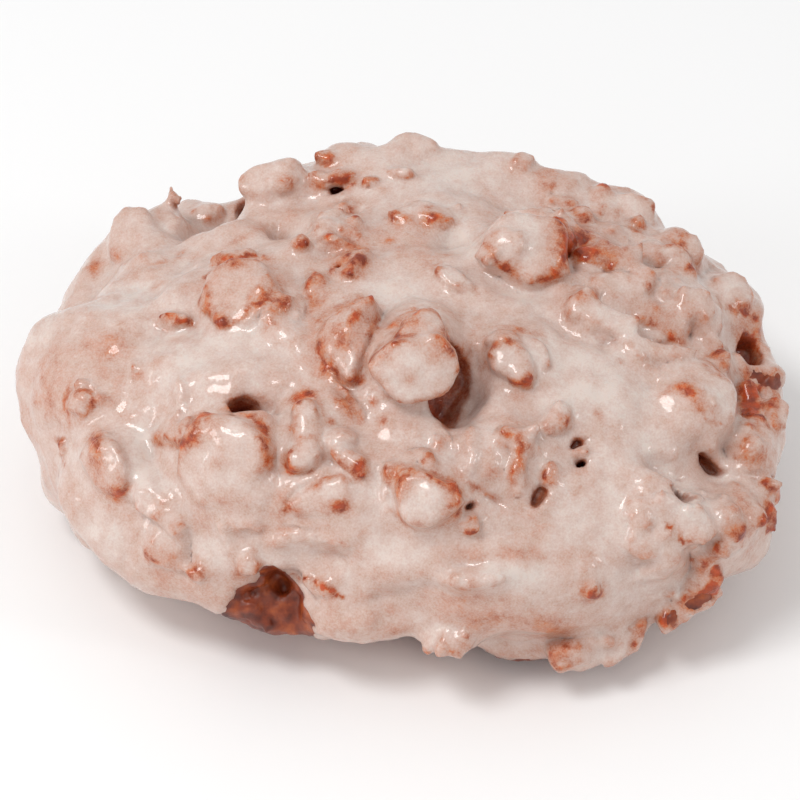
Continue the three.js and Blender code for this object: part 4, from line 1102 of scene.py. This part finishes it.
# Lines along which it ran off an edge or was drawn into a crack: how thin, the half width in millimetres, and
# the line as it is seen in the picture.
EDGES = {
    "crack": (0.9, 0.6, (660, 514), (668, 524), (680, 533), (687, 545), (690, 556)),
    "slot's crest": (0.9, 0.6, (294, 571), (310, 580), (326, 588), (342, 594)),
    "hook": (0.3, 0.7, (505, 434), (516, 433), (522, 444), (521, 458)),
    "hook's foot": (0.3, 0.9, (514, 468), (516, 484)),
    "crease by the round block": (0.4, 0.7, (458, 476), (474, 488), (492, 498)),
    "thin ledge": (0.7, 0.6, (158, 328), (166, 321), (178, 319), (190, 322)),
    "right of the mound": (0.4, 0.6, (262, 420), (266, 440), (264, 462)),
    "plate's left": (0.35, 0.6, (203, 282), (208, 300), (218, 320)),
    "plate's top": (0.4, 0.6, (214, 266), (232, 257), (256, 256)),
    "big block's upper end": (0.5, 0.7, (398, 322), (406, 312), (420, 307), (434, 309), (441, 320)),
    "big block's top": (0.35, 0.7, (374, 354), (384, 346), (397, 342)),
    "big block's right": (0.4, 0.8, (440, 338), (450, 350), (458, 366)),
    "wedge's crest": (0.4, 0.7, (372, 296), (352, 318), (344, 335), (345, 362)),
    "beside the channel": (0.35, 1.2, (322, 350), (334, 378), (350, 400), (362, 420)),
    "between the wedge and the block": (0.35, 1.3, (376, 318), (368, 345), (358, 376)),
    "slit at the left": (0.7, 0.6, (57, 440), (61, 452), (66, 464)),
    "rim of the seam": (0.6, 0.8, (700, 408), (708, 420), (718, 420)),
    "second rim of the seam": (0.4, 0.7, (664, 392), (680, 386), (692, 394)),
    "edge under the upper block": (
        0.35, 0.8, (492, 250), (505, 268), (524, 280), (545, 282), (558, 268), (563, 250),
    ),
    "leaf's edge": (0.5, 0.6, (598, 338), (608, 343), (616, 338)),
    "second leaf's edge": (0.4, 0.8, (650, 320), (668, 334), (684, 344)),
    "cheek of the right end": (0.5, 1.0, (735, 300), (742, 312), (756, 318)),
    "bottom lobe": (0.5, 0.7, (448, 648), (458, 651), (464, 644)),
    "edge crag": (0.5, 0.7, (628, 625), (632, 638), (634, 648)),
    "far right crag": (0.9, 0.8, (712, 564), (716, 574), (714, 584), (704, 592)),
    "right edge": (0.5, 0.6, (764, 504), (769, 514), (768, 526)),
}


def depth_in(surface, point):
    """How deep a point lies under a surface, below zero above it."""
    place, normal, _, _ = surface.find_nearest(point)
    return (place - Vector(point)).dot(normal)


def along_rim(points, outline, width):
    """How near to an outline each point lies, as the viewer sees it: 1 on it, and nearly 0 a width away."""
    middle, size = seen_span(outline)
    near, x, y = round_about(points, middle, size, reach=0.6)
    flat = np.stack([x, y], 1) / MM
    corners = [np.array((u - middle[0], middle[1] - v)) / PIXELS_PER_MM for u, v, _ in outline]
    raised = [out > 0 for _, _, out in outline]
    least = np.full(len(flat), 99.0)
    for start, end, up, next_up in zip(corners, corners[1:] + corners[:1], raised, raised[1:] + raised[:1]):
        if not (up and next_up):
            continue
        side = end - start
        along = np.clip((flat - start) @ side / (side @ side), 0, 1)
        least = np.minimum(least, np.hypot(*(flat - start - along[:, None] * side).T))
    found = np.zeros(len(points))
    found[near] = np.exp(-((least / width) ** 2))
    return found


def within(points, outline, softness):
    """How far inside an outline each point lies, as the viewer sees it: 1 in it and 0 outside."""
    middle, size = seen_span(outline)
    near, x, y = round_about(points, middle, size)
    x, y = x / MM, y / MM
    corners = [((u - middle[0]) / PIXELS_PER_MM, (middle[1] - v) / PIXELS_PER_MM) for u, v in outline]
    crossings = np.zeros(len(x))
    least = np.full(len(x), np.inf)
    for (x0, y0), (x1, y1) in zip(corners, corners[1:] + corners[:1]):
        run, climb = x1 - x0, y1 - y0
        crossings += ((y0 > y) != (y1 > y)) & (x < x0 + run * (y - y0) / (climb + 1e-9))
        along = np.clip(((x - x0) * run + (y - y0) * climb) / (run**2 + climb**2), 0, 1)
        least = np.minimum(least, np.hypot(x - x0 - along * run, y - y0 - along * climb))
    found = np.zeros(len(points))
    found[near] = smooth_step(-softness, softness, np.where(crossings % 2 == 1, least, -least))
    return found


def noise_at(points, scale):
    """A soft random pattern of a size in millimetres, from about -1 to 1."""
    return np.array([noise.noise(point) for point in points / (scale * MM)]) * 1.6


# How the dough lies, in millimetres: fill is above zero in a valley, crest and edge are below zero on a crest
# and on a sharp one, and sunken is how deep a place lies in a pocket.
levelled = copy_of(dough, "levelled")
smooth(levelled, CRESTS_OFF)
filled = copy_of(levelled, "filled")
smooth(filled, VALLEYS_FULL)
glaze = copy_of(dough, "glaze")
level = places(levelled)
normals = normals_of(levelled)
fill = ((places(filled) - level) * normals).sum(1) / MM
crest = ((level - skin) * normals).sum(1) / MM
softened = copy_of(dough, "softened")
smooth(softened, GRAIN_OFF)
edge = np.clip(((level - places(softened)) * normals).sum(1) / MM + SHARP, None, 0)
on_crest = np.clip(-edge / SHARPEST, 0, 1)
broken = noise_at(skin, 1.6)
sunken = np.array([depth_in(uncut_surface, point) for point in skin]) / MM
astray = skin + (noise_at(skin + 0.05, 1.4) * STRAY * MM)[:, None] * np.array(view_right)
astray += (broken * STRAY * MM)[:, None] * np.array(view_up)
little_astray = skin + 0.4 * (astray - skin)
in_gap = smooth_step(0.5, 2.0, sunken)
for _, *mouth in POCKETS.values():
    at_mouth = 0.75 * within(little_astray, mouth, 0.3)
    in_gap = np.maximum(in_gap, at_mouth * smooth_step(0.0, 0.5, sunken))

# How thick it stands.
thickness = np.clip(crest + FILM + 0.5 * np.clip(fill, 0, None) + 0.2 * np.clip(fill, -0.8, 0), LEAST, MOST)
thickness *= 1 - 0.7 * in_gap
for line in BEADS.values():
    thickness += BEAD * near_line(skin, line, BEAD_WIDTH)

# How well it covers the brown of the dough: 1 is white, and 0 shows all the brown. Deep in the pockets it
# also carries painted shade.
cover = EVEN + RUN_OFF * edge + 0.2 * np.clip(fill, 0, 0.8) + 0.05 * np.clip(fill, -1.2, 0)
cover += 0.1 * noise_at(skin, 7) + 0.13 * noise_at(skin, 2.4) - 0.1 * smooth_step(0.7, 0.1, normals[:, 2])
for pixel, size, _, turn, bareness in CRAGS.values():
    inside = patch(astray, pixel, [side + 0.8 for side in size[:2]], turn, softness=0.6)
    cover -= bareness * inside * (0.34 + 0.28 * broken + 0.36 * on_crest)
patchy = np.clip(0.6 + 0.9 * noise_at(skin + 0.02, 3), 0, 1.4)
for _, *corners in FRUIT.values():
    cover -= RIM * along_rim(astray, corners[:-1], RIM_WIDTH) * patchy
    middle, size = seen_span(corners)
    cover += 0.1 * patch(skin, middle, [0.8 * side for side in size], 0, softness=0.6)
for pixel, size, turn, how_thin in THIN.values():
    cover -= how_thin * patch(skin, pixel, size, turn, softness=0.9)
for pixel, size, turn in POOLS.values():
    cover += POOLED * patch(skin, pixel, size, turn, softness=0.9) * (0.75 + 0.25 * broken)
for how_thin, width, *line in EDGES.values():
    cover -= how_thin * near_line(astray, line, 0.85 * width) * np.clip(0.6 + 0.6 * broken, 0.1, 1.1)
for place, wide, bareness in far_lumps:
    near = np.exp(-((astray - np.array(place)) ** 2).sum(1) / (0.5 * wide * MM) ** 2)
    cover -= bareness * near * (0.4 + 0.6 * broken + 0.6 * on_crest)
# Inside a pocket the glaze covers less, so the dough's brown shows. Deeper in, the colour darkens further as
# painted shade.
cover -= DARK_POCKET * in_gap + 0.3 * smooth_step(2.2, 5, sunken)

# Where there is none, its skin lies inside the dough.
off = 1 - smooth_step(*ENDS, skin[:, 2] / MM + 1.2 * broken)
for pixel, size, turn in BARE.values():
    off = np.maximum(off, patch(astray, pixel, size, turn, softness=0.15))
off = np.maximum(off, within(little_astray, GAP, 0.4))
thickness = thickness * (1 - off) - 0.35 * off
for piece in (levelled, filled, softened, swells):
    bpy.data.objects.remove(piece)
move_to(glaze, skin + normals * thickness[:, None] * MM)
move_to(dough, skin - normals * (UNDER * (1 - off))[:, None] * MM)
grow(glaze, "waves", "CLOUDS", 2.6 * MM, 0.3 * MM, noise_depth=0)
grow(glaze, "ripples", "CLOUDS", 1.3 * MM, 0.24 * MM, noise_depth=1)
smooth(glaze, 1)
# The creases are drawn browner as painted shade. The pockets are drawn browner too, partly the dough's brown
# through the glassy glaze and partly painted shade.
crease_shade = 0.65 * smooth_step(0.1, 0.8, fill)
for name, values in (("glaze_cover", cover), ("glaze_clear", np.maximum(in_gap, crease_shade))):
    kept = glaze.data.attributes.new(name, "FLOAT", "POINT")
    kept.data.foreach_set("value", values.astype(np.float32))


def stretched(tree, value, low, high, new_low, new_high):
    """A value carried over from one range to another."""
    ends = {"From Min": low, "From Max": high, "To Min": new_low, "To Max": new_high}
    return add_node(tree, "ShaderNodeMapRange", Value=value, **ends).outputs["Result"]


def mixed(tree, share, first, second):
    made = add_node(tree, "ShaderNodeMix", data_type="RGBA", Factor=share, A=first, B=second)
    return made.outputs["Result"]


# Its colours from none to full cover, over brown dough and over orange fruit and crust.
OVER_BROWN = {
    0.0: "82341c", 0.1: "9c5136", 0.26: "b2745c", 0.38: "bd907f", 0.58: "c7a89a", 0.8: "d1bab0", 1.0: "d8c8bf"
}
OVER_ORANGE = {
    0.0: "bc4c1c", 0.1: "c56a3e", 0.26: "c28566", 0.38: "c49683", 0.58: "c9a89b", 0.8: "d1bab0", 1.0: "d8c8bf"
}
# The brown that creases and pockets turn towards: painted shade, and in the pockets also the dough's brown
# showing through the glaze.
BROWN_AND_SHADE_IN_HOLLOWS = "74392a"
SPECKLES = ((0.3, 0.45), (0.8, 0.3), (1.8, 0.15))  # size in millimetres, and how far they change the cover
LOOKS = {
    "Roughness": 0.35,
    "Specular IOR Level": 0.2,
    "Coat Weight": 0.55,
    "Coat Roughness": 0.06,
    "Subsurface Weight": 0.2,
    "Subsurface Radius": (1.0, 0.6, 0.45),
    "Subsurface Scale": 1.0 * MM,
}
sugar, tree, shader = new_finish("sugar glaze", **LOOKS)
amount = add_node(tree, "ShaderNodeAttribute", attribute_name="glaze_cover").outputs["Fac"]
for size, spread in SPECKLES:
    centred = reckon(tree, "SUBTRACT", mottling(tree, size, 1.0), 0.5)
    amount = reckon(tree, "MULTIPLY_ADD", centred, spread, amount)
orange = stretched(tree, mottling(tree, 1.8, 4.0), 0.36, 0.64, 0.0, 1.0)
either = mixed(tree, orange, coloured(tree, amount, OVER_BROWN), coloured(tree, amount, OVER_ORANGE))
# Creases and pockets are mixed halfway towards that brown: painted shade, with real brown of the dough in the
# pockets.
clear = add_node(tree, "ShaderNodeAttribute", attribute_name="glaze_clear").outputs["Fac"]
browner = mixed(tree, reckon(tree, "MULTIPLY", clear, 0.5), either, seen_colour(BROWN_AND_SHADE_IN_HOLLOWS))
feed(tree, shader.inputs["Base Color"], browner)
where_thin = stretched(tree, amount, 0.1, 0.75, 1.0, 0.25)
roughen(tree, shader, reckon(tree, "MULTIPLY", mottling(tree, 0.6, 2.0), where_thin), 0.8, 0.3)

for piece, finish in ((dough, crust), (glaze, sugar)):
    piece.data.materials.clear()
    piece.data.materials.append(finish)
    only(piece)
    bpy.ops.object.shade_smooth()
    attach(piece, "root")
    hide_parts("fritter")


# ---- The studio --------------------------------------------------------------------------------------------
# A pale table in a white room, with three soft lights: a broad one high up a little to the left, a tall strip
# at the left, and a weaker one at the right.
LIGHTS = {  # where each stands, its width and height in metres, and its power in watts
    "key": ((-0.3, -0.25, 0.8), 0.34, 0.24, 2.9),
    "left": ((-0.85, -0.32, 0.4), 0.16, 0.5, 1.6),
    "right": ((0.7, -0.3, 0.5), 0.12, 0.26, 0.6),
}
ROOM_LIGHT = 0.67

only(dough)
bpy.ops.mesh.primitive_plane_add(size=4, location=(0, 0, -0.05 * MM))
floor = bpy.context.object
floor.name = "floor"
paint, _, _ = new_finish("pale table", **{"Base Color": (0.93, 0.93, 0.93, 1), "Roughness": 0.8})
floor.data.materials.append(paint)
for name, (place, width, height, power) in LIGHTS.items():
    light = bpy.data.lights.new(name, "AREA")
    light.shape = "ELLIPSE"
    light.size = width
    light.size_y = height
    light.energy = power
    lamp = bpy.data.objects.new(name, light)
    lamp.location = place
    lamp.rotation_euler = (Vector(place) - VIEW_AIM).to_track_quat("Z", "Y").to_euler()
    bpy.context.collection.objects.link(lamp)
world = bpy.data.worlds.new("white room")
bpy.context.scene.world = world
world.use_nodes = True
world.node_tree.nodes["Background"].inputs["Color"].default_value = (1, 1, 1, 1)
world.node_tree.nodes["Background"].inputs["Strength"].default_value = ROOM_LIGHT
bpy.context.scene.view_settings.view_transform = "Standard"
